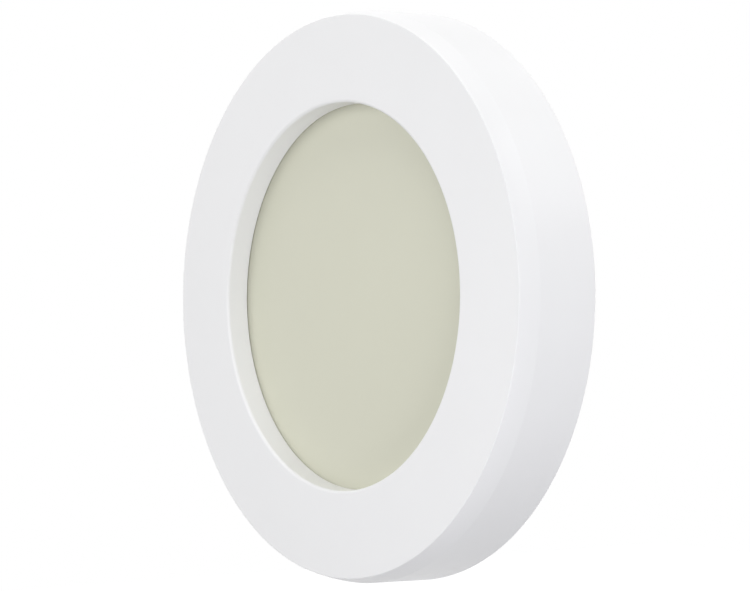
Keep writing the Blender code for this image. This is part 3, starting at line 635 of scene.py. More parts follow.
class Sketch:
    """A material's nodes, with short calls for those that the finishes share."""

    def __init__(self, name: str) -> None:
        """Start a material.

        Args:
            name: Its name.
        """
        self.material = bpy.data.materials.new(name)
        self.material.use_nodes = True
        self.tree = self.material.node_tree
        self.place = self.add("TexCoord", {}).outputs["Object"]

    def add(self, kind: str, inputs: dict, **settings: object) -> bpy.types.Node:
        """Add a node to the material."""
        return add_node(self.tree, kind, inputs, **settings)

    def dress(self, **inputs: object) -> None:
        """Set the shader's inputs, whose names are given with _ for a space."""
        named = {key.replace("_", " "): value for key, value in inputs.items()}
        feed(self.tree, self.tree.nodes["Principled BSDF"], named)

    def maths(self, operation: str, a: Socket, b: Socket | float) -> Socket:
        """Result of one sum on two numbers."""
        return self.add("Math", {0: a, 1: b}, operation=operation).outputs[0]

    def noise(self, scale: float, detail: float = 2.0, at: Socket | None = None) -> Socket:
        """Soft noise with about that many blotches to the metre."""
        inputs = {"Vector": at or self.place, "Scale": scale, "Detail": detail}
        return self.add("TexNoise", {**inputs, "Roughness": NOISE_ROUGHNESS}).outputs["Fac"]

    def ranged(self, value: Socket, *ends: float) -> Socket:
        """Noise spread between two values."""
        limits = zip(("From Min", "From Max", "To Min", "To Max"), (*NOISE_RANGE, *ends))
        return self.add("MapRange", {"Value": value, **dict(limits)}).outputs["Result"]

    def tinted(self, value: Socket, colour: Colour, darker: float, lighter: float) -> Socket:
        """Noise as a colour that varies about a given one.

        Args:
            value: The noise.
            colour: The finish's own colour.
            darker: Share by which it darkens.
            lighter: Share by which it lightens.

        Returns:
            The varied colour.
        """
        node = self.add("ValToRGB", {"Fac": value})
        levels = (1.0 - darker, 1.0 + lighter)
        for stop, place, level in zip(node.color_ramp.elements, NOISE_RANGE, levels):
            stop.position = place
            stop.color = (*(min(1.0, part * level) for part in colour), 1.0)
        return node.outputs["Color"]

    def relief(self, height: Socket, depth: float) -> Socket:
        """Normal of a skin whose height varies by a depth in metres."""
        return self.add("Bump", {"Height": height, "Distance": depth}).outputs["Normal"]

    def axis_lines(self, across: float, along: float) -> Socket:
        """Place on turned lines: radius, angle round the axis and depth.

        Args:
            across: Scale of the radius and the depth.
            along: Scale of the angle.

        Returns:
            The place as a vector.
        """
        parts = self.add("SeparateXYZ", {"Vector": self.place}).outputs
        flat = self.add("CombineXYZ", {"X": parts["X"], "Y": parts["Z"]}).outputs[0]
        radius = self.add("VectorMath", {0: flat}, operation="LENGTH").outputs["Value"]
        turns = self.maths("MULTIPLY", self.maths("ARCTAN2", parts["Z"], parts["X"]), along)
        rings, depth = (self.maths("MULTIPLY", value, across) for value in (radius, parts["Y"]))
        return self.add("CombineXYZ", {"X": rings, "Y": turns, "Z": depth}).outputs[0]


@dataclass(frozen=True)
class Moulding:
    """Moulded plastic: an even colour with a faint flow mottle and a pebbled skin."""

    slot: str
    colour: Colour
    roughness: float
    mottle: float = 0.012
    mottle_scale: float = 28.0
    mottle_detail: float = 3.0
    pebble_scale: float = 900.0
    pebble_depth: float = 0.0000012
    uneven: float = 0.12
    specular: float = 0.5

    def material(self) -> bpy.types.Material:
        """Build the finish.

        Returns:
            Its material.
        """
        sketch = Sketch(f"{self.slot}_finish")
        flow = sketch.noise(self.mottle_scale, self.mottle_detail)
        skin = sketch.noise(self.pebble_scale)
        rough, spread = self.roughness, self.uneven
        sketch.dress(
            Base_Color=sketch.tinted(flow, self.colour, self.mottle, self.mottle),
            Roughness=sketch.ranged(skin, rough * (1.0 - spread), rough * (1.0 + spread)),
            Specular_IOR_Level=self.specular,
            Normal=sketch.relief(skin, self.pebble_depth),
        )
        return sketch.material


@dataclass(frozen=True)
class SpunMetal:
    """Bare metal with fine turned lines and a few duller patches."""

    slot: str
    colour: Colour
    roughness: float
    line_scale: float = 5200.0
    turn_scale: float = 6.0
    line_depth: float = 0.000006
    line_gloss: Pair = (0.75, 1.3)
    patch_scale: float = 60.0
    patch_detail: float = 4.0
    patch_tone: Pair = (0.07, 0.04)

    def material(self) -> bpy.types.Material:
        """Build the finish.

        Returns:
            Its material.
        """
        sketch = Sketch(f"{self.slot}_finish")
        lines = sketch.noise(1.0, at=sketch.axis_lines(self.line_scale, self.turn_scale))
        patch = sketch.noise(self.patch_scale, self.patch_detail)
        sketch.dress(
            Base_Color=sketch.tinted(patch, self.colour, *self.patch_tone),
            Metallic=1.0,
            Roughness=sketch.ranged(lines, *(self.roughness * part for part in self.line_gloss)),
            Normal=sketch.relief(lines, self.line_depth),
        )
        return sketch.material


FINISHES = (
    Moulding(
        "gloss_white_plastic", (0.845, 0.845, 0.85), 0.30, mottle=0.006, mottle_scale=22.0,
        pebble_scale=1400.0, pebble_depth=0.0000004, uneven=0.03, specular=0.25,
    ),
    Moulding("grey_plastic", (0.55, 0.56, 0.57), 0.5, mottle=0.03),
    Moulding(
        "frosted_lens", (0.622, 0.622, 0.508), 0.42, mottle=0.006, mottle_scale=18.0,
        pebble_scale=1500.0, pebble_depth=0.0000005,
    ),
    Moulding(
        "black_rubber", (0.03, 0.03, 0.03), 0.75, mottle=0.15, mottle_scale=90.0,
        pebble_scale=1600.0, pebble_depth=0.00002,
    ),
    SpunMetal("stainless_steel", (0.62, 0.62, 0.60), 0.28),
    SpunMetal("aluminium", (0.77, 0.78, 0.78), 0.4),
    Moulding("green_board", (0.03, 0.18, 0.07), 0.4, mottle=0.2, mottle_scale=220.0),
    Moulding("white_board", (0.80, 0.80, 0.78), 0.4),
    Moulding("black_moulding", (0.03, 0.03, 0.032), 0.5, mottle=0.12),
    Moulding("green_moulding", (0.05, 0.30, 0.12), 0.45),
    Moulding("amber_silicone", (0.85, 0.60, 0.10), 0.2, mottle=0.06, mottle_scale=700.0),
    Moulding("red_insulation", (0.50, 0.03, 0.03), 0.45),
)


def aimed(name: str, data: bpy.types.ID, place: Triple, aim: Vector) -> bpy.types.Object:
    """Set up a camera or a lamp.

    Args:
        name: Its name.
        data: Its settings.
        place: Where it stands.
        aim: What it points at.

    Returns:
        The camera or lamp.
    """
    thing = bpy.data.objects.new(name, data)
    thing.location = place
    thing.rotation_euler = (aim - thing.location).to_track_quat("-Z", "Y").to_euler()
    bpy.context.scene.collection.objects.link(thing)
    return thing


@dataclass(frozen=True)
class Softbox:
    """Square lamp that points at the light's front."""

    name: str
    place: Triple
    size: float
    power: float
    tint: Colour = (1.0, 1.0, 1.0)

    def hang(self, aim: Vector) -> None:
        """Add the lamp.

        Args:
            aim: What it points at.
        """
        data = bpy.data.lights.new(self.name, "AREA")
        data.size, data.energy, data.color = self.size, self.power, self.tint
        aimed(self.name, data, self.place, aim)


@dataclass
class Studio:
    """Camera, pale floor and soft light round the object."""

    azimuth: float = math.radians(53.63)
    elevation: float = math.radians(-0.58)
    distance: float = 1.2575
    aim_right: float = 0.0322
    aim_drop: float = 0.0020
    lens: float = 120.65
    sky: float = 0.4
    floor_height: float = -0.62
    floor_size: float = 8.0
    floor_colour: float = 0.30
    floor_roughness: float = 0.9
    floor_top_up: float = 0.92
    lamps: tuple[Softbox, ...] = (
        Softbox("front", (-0.50, -1.30, 0.30), 0.7, 5.85),
        Softbox("left_front", (-0.80, -0.70, 0.10), 0.6, 0.45),
        Softbox("right_front", (0.60, -0.70, 0.15), 0.6, 0.95),
        Softbox("low_front", (-0.10, -1.00, -0.38), 0.4, 0.95, (0.98, 0.98, 1.0)),
        Softbox("low_right", (0.75, -0.30, -0.38), 0.4, 2.75, (0.96, 0.96, 1.0)),
        Softbox("right", (1.05, -0.30, 0.15), 0.5, 0.85, (0.95, 0.97, 1.0)),
        Softbox("top", (0.00, -0.25, 1.00), 0.7, 3.80),
        Softbox("top_back", (0.10, 0.45, 0.95), 0.7, 0.85),
        Softbox("top_right_back", (0.75, 0.45, 0.75), 0.7, 3.30),
        Softbox("behind", (0.00, 1.20, 0.00), 0.3, 3.00),
    )

    def camera(self, front: float) -> None:
        """Set the camera at the photograph's viewing angle.

        Args:
            front: Depth of the light's front face.
        """
        data = bpy.data.cameras.new("camera")
        data.lens = self.lens
        flat = math.cos(self.elevation) * self.distance
        eye = (
            flat * math.sin(self.azimuth),
            -front - flat * math.cos(self.azimuth),
            self.distance * math.sin(self.elevation),
        )
        scene = bpy.context.scene
        scene.camera = aimed("camera", data, eye, Vector((self.aim_right, -front, -self.aim_drop)))
        scene.view_settings.view_transform = "Standard"

    @staticmethod
    def seen(tree: bpy.types.NodeTree) -> Socket:
        """1 for rays that look at a backdrop, straight or by a mirror or a window, and else 0.

        Args:
            tree: Tree of the backdrop.

        Returns:
            That number.
        """
        rays = add_node(tree, "LightPath", {}).outputs
        total = rays["Is Camera Ray"]
        for name in ("Is Glossy Ray", "Is Transmission Ray"):
            most = add_node(tree, "Math", {0: total, 1: rays[name]}, operation="MAXIMUM")
            total = most.outputs[0]
        return total

    def world(self) -> None:
        """Even soft light from all round, on a white background."""
        world = bpy.data.worlds.new("studio")
        world.use_nodes = True
        tree = world.node_tree
        soft = tree.nodes["Background"]
        feed(tree, soft, {"Color": WHITE, "Strength": self.sky})
        white = add_node(tree, "Background", {"Color": WHITE})
        shaders = {0: self.seen(tree), 1: soft.outputs[0], 2: white.outputs[0]}
        mix = add_node(tree, "MixShader", shaders)
        feed(tree, tree.nodes["World Output"], {"Surface": mix.outputs[0]})
        bpy.context.scene.world = world

    def floor(self) -> None:
        """Pale floor below the object, topped up to white where it is looked at."""
        mesh = bpy.data.meshes.new("floor")
        reach, grey = self.floor_size / 2.0, self.floor_colour
        corners = [(-reach, -reach), (reach, -reach), (reach, reach), (-reach, reach)]
        mesh.from_pydata([(x, y, self.floor_height) for x, y in corners], [], [(0, 1, 2, 3)])
        floor = bpy.data.objects.new("floor", mesh)
        bpy.context.scene.collection.objects.link(floor)
        sketch = Sketch("pale_floor")
        sketch.dress(
            Base_Color=(grey, grey, grey, 1.0),
            Roughness=self.floor_roughness,
            Emission_Color=WHITE,
            Emission_Strength=sketch.maths("MULTIPLY", self.seen(sketch.tree), self.floor_top_up),
        )
        mesh.materials.append(sketch.material)

    def build(self, front: float) -> None:
        """Set up the camera, the world, the floor and the lamps.

        Args:
            front: Depth of the light's front face.
        """
        self.camera(front)
        self.world()
        self.floor()
        for lamp in self.lamps:
            lamp.hang(Vector((0.0, -front, 0.0)))


@dataclass(frozen=True)
class PanScrew:
    """Slotted pan-head screw with a rolled thread, and the hole that it passes through."""

    shank: float
    height: float
    pitch: float
    thread_depth: float
    hole: float
    tip: float = 0.5
    flank: float = 0.35
    dome: float = 0.45
    slot: float = 0.0008
    slot_edge: float = 0.00004

    def shape(self, span: Span) -> Surface:
        """Screw on the axis, from its tip to its domed head.

        The thread sinks the shank by h (1 + cos(2 pi d / p - a)) / 2, faded in over one pitch at
        both ends. The dome is r = R cos(t)^q, d = s + k + (h - k) sin(t), above a flank of k.

        Args:
            span: Where its node lies.

        Returns:
            The screw without its slot.
        """
        end, seat, shank = span.back, span.front - self.height, self.shank
        depth = np.arange(end + shank, seat, self.pitch / THREAD_STEPS)
        rod = np.stack([np.full_like(depth, shank), depth], 1)
        t = np.linspace(0.0, math.pi / 2.0, CURVE_STEPS)
        flank = self.flank * self.height
        radius = span.radius * np.maximum(np.cos(t), 0.0) ** self.dome
        radius[-1] = 0.0
        head = np.stack([radius, seat + flank + (self.height - flank) * np.sin(t)], 1)
        foot, neck = [(0.0, end), (self.tip * shank, end)], [(shank, seat), (span.radius, seat)]
        outline = np.concatenate([foot, rod, neck, head])
        d = outline[:, 1:]
        fade = np.clip(np.minimum(d - end, seat - d) / self.pitch, 0.0, 1.0)
        fade *= outline[:, :1] == shank
        wave = 0.5 + 0.5 * np.cos(2.0 * math.pi * d / self.pitch - evenly(POST_SEGMENTS)[None])
        return turned(outline, POST_SEGMENTS, self.thread_depth * fade * wave)

    def made(self, node: str) -> bpy.types.Object:
        """Make one screw, its slot in line with the light's axis.

        Args:
            node: Node that it stands for.

        Returns:
            The screw.
        """
        span = Span.of(node)
        reach, top = span.radius + OVERSHOOT, span.front
        outline = block(-reach, reach, top - self.slot, top + OVERSHOOT, 0.0)
        shapes = self.shape(span), prism(outline, self.slot, self.slot_edge)
        screw, slot = (shape.spun(span.angle).moved(*span.at) for shape in shapes)
        return worked(solid(f"threaded_{node}", screw), slot, Cut.REMOVE)


# Screws, bayonet lugs and hooks that more than one sub-assembly has
CLAMP_SCREW = PanScrew(0.0014, 0.0026, 0.0010, 0.00022, 0.0017)
BOARD_SCREW = PanScrew(0.0011, 0.0016, 0.0008, 0.00018, 0.0014)
CLAMP_SCREWS = numbered("clamp_screw", 8)
BOARD_SCREWS = numbered("board_screw", 4)
DRIVER_SCREWS = numbered("driver_screw", 2)
BAYONETS = evenly(3, math.radians(90.0))
LUG_SPAN = math.radians(22.0)


@dataclass
class Assembly:
    """Sub-assembly, whose pieces are dressed and set on their bodies."""

    finishes: dict[str, bpy.types.Material]

    def fit(
        self, piece: bpy.types.Object, slot: str, node: str, body: Body = Body.LAMP,
    ) -> None:
        """Dress a piece and let it stand for its node.

        Args:
            piece: The finished piece.
            slot: Material slot of the record.
            node: Node that it replaces.
            body: Body that it rides on.
        """
        piece.data.materials.clear()
        piece.data.materials.append(self.finishes[slot])
        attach(piece, body.value)
        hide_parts(node)
        LOG.info("%s: %d faces, for %s", piece.name, len(piece.data.polygons), node)

    def lathe(
        self, name: str, outline: np.ndarray, slot: str, node: str, segments: int = RING_SEGMENTS,
    ) -> None:
        """Turn an outline in the place of a node, and fit it."""
        shape = turned(outline, segments).moved(*Span.of(node).at)
        self.fit(solid(name, shape), slot, node)

    def screws(self, screw: PanScrew, nodes: list[str]) -> list[Loop]:
        """Make a row of screws.

        Args:
            screw: Their kind.
            nodes: Nodes that they stand for.

        Returns:
            Edges of the holes for them in the plate that they hold.
        """
        for node in nodes:
            self.fit(screw.made(node), "stainless_steel", node)
        return [circle_loop(screw.hole, POST_SEGMENTS, Span.of(node).at) for node in nodes]


@dataclass
class Bezel(Assembly):
    """White ring with a flat front, a narrow shoulder and a rib ring that clips on."""

    opening: float = 0.0970
    lip_wall: float = 0.0030
    lip_bottom: float = 0.0325
    lip_round: float = 0.0016
    front_wall: float = 0.0030
    side_wall: float = 0.0030
    side_draft: float = 0.0005
    shoulder_inset: float = 0.0028
    shoulder_depth: float = 0.0106
    shoulder_crown: float = 0.00025
    crease_round: float = 0.0005
    edge: float = 0.0003
    inner_round: float = 0.0010
    rib_inner: float = 0.1245
    rib_wall: float = 0.0024
    bead_reach: float = 0.0022
    bead_bottom: float = 0.02452
    bead_top: float = 0.02652
    bead_root: float = 0.02896
    web_count: int = 8
    web_thickness: float = 0.0020
    web_depth: float = 0.0130
    web_bite: float = 0.0006

    def shoulder(self, radius: float, front: float) -> np.ndarray:
        """Slight crown from the front face to the side, a quadratic curve between its two creases.

        The curve is (1 - t)^2 a + 2 t (1 - t) k + t^2 b, where the knee k stands twice the crown
        proud of the middle of the line between the creases a and b.

        Args:
            radius: Radius of the side at the lower crease.
            front: Depth of the front face.

        Returns:
            Rows of (radius, depth, round), from the front to the side.
        """
        a = np.array((radius - self.shoulder_inset, front))
        b = np.array((radius, front - self.shoulder_depth))
        proud = unit(np.array((self.shoulder_depth, self.shoulder_inset)))
        knee = (a + b) / 2.0 + proud * (2.0 * self.shoulder_crown)
        t = np.linspace(0.0, 1.0, CURVE_STEPS + 1)[:, None]
        crown = (1.0 - t) ** 2 * a + 2.0 * t * (1.0 - t) * knee + t * t * b
        rounds = np.where((t == 0.0) | (t == 1.0), self.crease_round, 0.0)
        return np.hstack([crown, rounds])

    def outline(self, span: Span) -> np.ndarray:
        """Section of the ring, from the lip over the front and down the side.

        Args:
            span: Radius and depths of the bezel in the frame.

        Returns:
            Rows of (radius, depth).
        """
        side, edge, soft = span.radius - self.side_draft, self.edge, self.inner_round
        inside = span.front - self.front_wall
        rib_outer = self.rib_inner + self.rib_wall
        bead_inner = self.rib_inner - self.bead_reach
        lip_outer = self.opening + self.lip_wall
        return rounded([
            (self.opening, self.lip_bottom, edge),
            (self.opening, span.front, self.lip_round),
            *self.shoulder(side, span.front).tolist(),
            (span.radius, span.back, edge),
            (span.radius - self.side_wall, span.back, edge),
            (side - self.side_wall, inside, soft),
            (rib_outer, inside, soft),
            (rib_outer, self.bead_bottom, edge),
            (bead_inner, self.bead_bottom, edge),
            (bead_inner, self.bead_top, edge),
            (self.rib_inner, self.bead_root, edge),
            (self.rib_inner, inside, soft),
            (lip_outer, inside, soft),
            (lip_outer, self.lip_bottom, edge),
        ])

    def webs(self, span: Span) -> Surface:
        """Thin webs that stiffen the space between the rib ring and the side.

        Args:
            span: Radius and depths of the bezel in the frame.

        Returns:
            All the webs.
        """
        inside = span.front - self.front_wall
        inner = self.rib_inner + self.rib_wall - self.web_bite
        outer = span.radius - self.side_draft - self.side_wall + self.web_bite
        outline = block(inner, outer, inside - self.web_depth, inside + self.web_bite, self.edge)
        web = prism(outline, self.web_thickness, self.edge / 2.0)
        return merged([web.spun(a) for a in evenly(self.web_count, math.pi / self.web_count)])

    def build(self) -> None:
        """Make the ring and set it on its body."""
        span = Span.of("bezel")
        ring = solid("bezel_ring", turned(self.outline(span), RIM_SEGMENTS))
        worked(ring, self.webs(span), Cut.JOIN)
        self.fit(ring, "gloss_white_plastic", "bezel", Body.BEZEL)


@dataclass
class Front(Assembly):
    """Lens, its gasket, the clamp that holds them and the clips that hold the bezel."""

    lens_edge: float = 0.0005
    gasket_inner: float = 0.1006
    gasket_round: float = 0.0004
    clamp_edge: float = 0.00035
    clip_count: int = 4
    clip_thickness: float = 0.0008
    clip_width: float = 0.0090
    clip_foot: float = 0.0046
    clip_gap: float = 0.0010
    clip_hump: float = 0.0036
    clip_leg: float = 0.0038
    clip_slope: float = 0.0040
    clip_bend: float = 0.0009
    clip_edge: float = 0.00015

    def lens(self) -> None:
        """Flat frosted disc, and the rubber channel that wraps its rim."""
        disc, span = Span.of("lens"), Span.of("lens_gasket")
        outline = block(0.0, disc.radius, disc.back, disc.front, self.lens_edge)
        self.lathe("lens_disc", outline, "frosted_lens", "lens")
        groove, inner, edge = disc.radius + FIT, self.gasket_inner, self.gasket_round
        back, face = disc.back - FIT, disc.front + FIT
        channel = rounded([
            (inner, span.back, edge),
            (span.radius, span.back, edge),
            (span.radius, span.front, edge),
            (inner, span.front, edge),
            (inner, face, edge),
            (groove, face, edge),
            (groove, back, edge),
            (inner, back, edge),
        ])
        self.lathe("gasket_ring", channel, "black_rubber", "lens_gasket")

    def clamp(self) -> None:
        """Flat steel ring with a hole for each of its screws."""
        span = Span.of("clamp_ring")
        loops = [
            circle_loop(span.radius, RING_SEGMENTS, hole=False),
            circle_loop(self.gasket_inner, RING_SEGMENTS),
            *self.screws(CLAMP_SCREW, CLAMP_SCREWS),
        ]
        ring = solid("clamp_plate", plate(loops, span.back, span.front, self.clamp_edge))
        self.fit(ring, "stainless_steel", "clamp_ring")

    def clips(self) -> None:
        """Bent steel strips that spring out in front of the bezel's bead."""
        clamp = Span.of("clamp_ring")
        foot = clamp.front + FIT + self.clip_thickness / 2.0
        leg = clamp.radius + self.clip_gap + self.clip_thickness / 2.0
        knee, bend = foot - self.clip_leg, self.clip_bend
        step = len(CLAMP_SCREWS) // self.clip_count
        for node, holder in zip(numbered("bezel_clip", self.clip_count), CLAMP_SCREWS[::step]):
            screw = Span.of(holder)
            path = rounded([
                (math.hypot(*screw.at) - self.clip_foot, foot, 0.0),
                (leg, foot, bend),
                (leg, knee, bend),
                (leg + self.clip_hump, knee - self.clip_slope, bend),
                (leg, knee - 2.0 * self.clip_slope, 0.0),
            ])
            shape = prism(strip(path, self.clip_thickness), self.clip_width, self.clip_edge)
            piece = solid(f"sprung_{node}", shape.spun(screw.angle))
            hole = pegs([screw.at], CLAMP_SCREW.hole, clamp.front, foot + OVERSHOOT)
            self.fit(worked(piece, hole, Cut.REMOVE), "stainless_steel", node)

    def build(self) -> None:
        """Make each piece of the front."""
        self.lens()
        self.clamp()
        self.clips()


@dataclass
class Housing(Assembly):
    """Stepped cup with screw bosses, posts, bayonet lugs and a cable gland behind its floor."""

    wall: float = 0.0030
    floor_back: float = 0.0060
    ledge_lap: float = 0.0062
    socket_gap: float = 0.0004
    flange: float = 0.0040
    boss_radius: float = 0.0045
    boss_length: float = 0.0100
    post_radius: float = 0.0040
    post_pilot: float = 0.0060
    pad_radius: float = 0.0035
    pad_pilot: float = 0.0022
    lug_reach: float = 0.0056
    lug_rise: float = 0.0010
    lug_thickness: float = 0.0030
    gland_wall: float = 0.0032
    gland_hole: float = 0.0045
    gland_end: float = 0.0015
    grommet_hole: float = 0.0042
    pin_radius: float = 0.0010
    pin_depth: float = 0.0015
    pin_circle: float = 0.0069
    edge: float = 0.0004
    end_edge: float = 0.0002
    thin_edge_share: float = 0.3
    rim_round: float = 0.0006
    soft_edge: float = 0.0012
    heel_round: float = 0.00192

    def outline(self) -> np.ndarray:
        """Section of the cup, from the gland's bore round its back, flange and inside.

        Returns:
            Rows of (radius, depth).
        """
        nodes = ("rear_shell", "lens_gasket", "cable_grommet", "lens")
        shell, gasket, grommet, lens = (Span.of(node) for node in nodes)
        bore = grommet.radius + FIT
        boss = bore + self.gland_wall
        inner = lens.radius - self.ledge_lap
        socket, ledge = gasket.radius + self.socket_gap, gasket.back - FIT
        outer, skirt, step = inner + self.wall, socket + self.wall, ledge - self.wall
        floor, flange = self.floor_back + self.wall, shell.front - self.flange
        end, edge, soft = grommet.front + FIT, self.edge, self.soft_edge
        return rounded([
            (bore, shell.back, edge),
            (boss, shell.back, self.rim_round),
            (boss, self.floor_back, soft),
            (outer, self.floor_back, self.heel_round),
            (outer, step, soft),
            (skirt, step, soft),
            (skirt, flange, soft),
            (shell.radius, flange, self.rim_round),
            (shell.radius, shell.front, edge),
            (socket, shell.front, edge),
            (socket, ledge, edge),
            (inner, ledge, edge),
            (inner, floor, soft),
            (boss, floor, soft),
            (boss, end + self.gland_end, edge),
            (self.gland_hole, end + self.gland_end, edge),
            (self.gland_hole, end, edge),
            (bore, end, edge),
        ])

    def shell(self) -> None:
        """Turn the cup, join what stands on it and drill it."""
        front = Span.of("rear_shell").front
        cup = Span.of("lens").radius - self.ledge_lap + self.wall
        bosses, posts, pads = (
            [Span.of(node).at for node in nodes]
            for nodes in (CLAMP_SCREWS, BOARD_SCREWS, DRIVER_SCREWS)
        )
        boss_back = front - self.flange - self.boss_length
        inside, edge = self.floor_back + self.wall / 2.0, self.edge
        post_top = Span.of("heat_spreader").back - FIT
        pad_top = Span.of("driver_board").back - FIT
        lug_back = self.floor_back + self.lug_rise
        lug_front = lug_back + self.lug_thickness
        lug = block(cup - self.wall / 2.0, cup + self.lug_reach, lug_back, lug_front, edge)
        shapes = [sector(lug, a - LUG_SPAN / 2.0, LUG_SPAN, self.end_edge) for a in BAYONETS]
        shapes += [
            pegs(bosses, self.boss_radius, boss_back, front - self.flange / 2.0, edge),
            pegs(posts, self.post_radius, inside, post_top, edge),
            pegs(pads, self.pad_radius, inside, pad_top, edge),
        ]
        pilot = BOARD_SCREW.hole
        holes = [
            pegs(bosses, CLAMP_SCREW.hole, boss_back + OVERSHOOT, front + OVERSHOOT),
            pegs(posts, pilot, post_top - self.post_pilot, post_top + OVERSHOOT),
            pegs(pads, pilot, pad_top - self.pad_pilot, pad_top + OVERSHOOT),
        ]
        piece = solid("housing_shell", turned(self.outline(), RING_SEGMENTS))
        worked(piece, merged(shapes), Cut.JOIN)
        worked(piece, merged(holes), Cut.REMOVE)
        self.fit(piece, "grey_plastic", "rear_shell")

    def gland(self) -> None:
        """Grommet, washer and the plug with two pin holes that squeezes them."""
        for node, slot, hole in (
            ("cable_grommet", "black_rubber", self.grommet_hole),
            ("gland_washer", "stainless_steel", self.gland_hole),
            ("gland_plug", "black_moulding", self.gland_hole),
        ):
            span = Span.of(node)
            edge = min(self.edge, self.thin_edge_share * (span.front - span.back))
            outline = block(hole, span.radius, span.back, span.front, edge)
            piece = solid(f"turned_{node}", turned(outline, BORE_SEGMENTS))
            if node == "gland_plug":
                places = [(-self.pin_circle, 0.0), (self.pin_circle, 0.0)]
                bottom = span.back + self.pin_depth
                pins = pegs(places, self.pin_radius, span.back - OVERSHOOT, bottom)
                worked(piece, pins, Cut.REMOVE)
            self.fit(piece, slot, node)

    def build(self) -> None:
        """Make the cup and the pieces of its gland."""
        self.shell()
        self.gland()


@dataclass
class WallMount(Assembly):
    """Plate that is screwed to the wall, with three hooks that the lamp twists under."""

    thickness: float = 0.0030
    edge: float = 0.0005
    end_edge: float = 0.0003
    centre_hole: float = 0.0139
    slot_circle: float = 0.0700
    slot_width: float = 0.0064
    slot_length: float = 0.0140
    slot_count: int = 4
    hook_span: float = math.radians(24.0)
    hook_margin: float = 0.0024
    hook_wall: float = 0.0030
    lip_inner: float = 0.1022
    lip_thickness: float = 0.0026
    stop_span: float = math.radians(3.0)
    stop_gap: float = math.radians(0.3)
    far_stop_top: float = 0.0100
    twist: float = math.radians(26.0)

    def sheet(self, radius: float) -> Surface:
        """Round plate with a hole for the gland and slots for wall screws.

        Args:
            radius: Radius of the plate.

        Returns:
            The plate.
        """
        loops = [
            circle_loop(radius, RING_SEGMENTS, hole=False),
            circle_loop(self.centre_hole, BORE_SEGMENTS),
        ]
        width, length = self.slot_width, self.slot_length
        for angle in evenly(self.slot_count):
            at = (self.slot_circle * math.cos(angle), self.slot_circle * math.sin(angle))
            loops.append(rect_loop(width, length, width / 2.0, at, True, angle))
        return plate(loops, 0.0, self.thickness, self.edge)

    def build(self) -> None:
        """Make the plate with its hooks and stops."""
        span, edge = Span.of("wall_bracket"), self.edge
        outer = span.radius - self.hook_margin
        inner, foot = outer - self.hook_wall, self.thickness / 2.0
        lip = span.front - self.lip_thickness
        hook = rounded([
            (inner, foot, edge),
            (outer, foot, edge),
            (outer, span.front, 2.0 * edge),
            (self.lip_inner, span.front - FIT, edge),
            (self.lip_inner, lip, edge),
            (inner, lip, edge),
        ])
        low, high = self.lip_inner + FIT, outer - FIT
        stop = block(low, high, foot, span.front - 2.0 * FIT, edge)
        far_stop = block(low, high, foot, self.far_stop_top, edge)
        half, hooks, stops = LUG_SPAN / 2.0, [], []
        for middle in BAYONETS:
            near = middle - half - self.stop_gap - self.stop_span
            far = middle + half + self.twist + self.stop_gap
            start = middle - self.hook_span / 2.0
            hooks.append(sector(hook, start, self.hook_span, self.end_edge))
            hooks.append(sector(far_stop, far, self.stop_span, self.end_edge))
            stops.append(sector(stop, near, self.stop_span, self.end_edge))
        piece = solid("wall_plate", self.sheet(span.radius))
        worked(piece, merged(hooks), Cut.JOIN)
        worked(piece, merged(stops), Cut.JOIN)
        self.fit(piece, "gloss_white_plastic", "wall_bracket", Body.BRACKET)


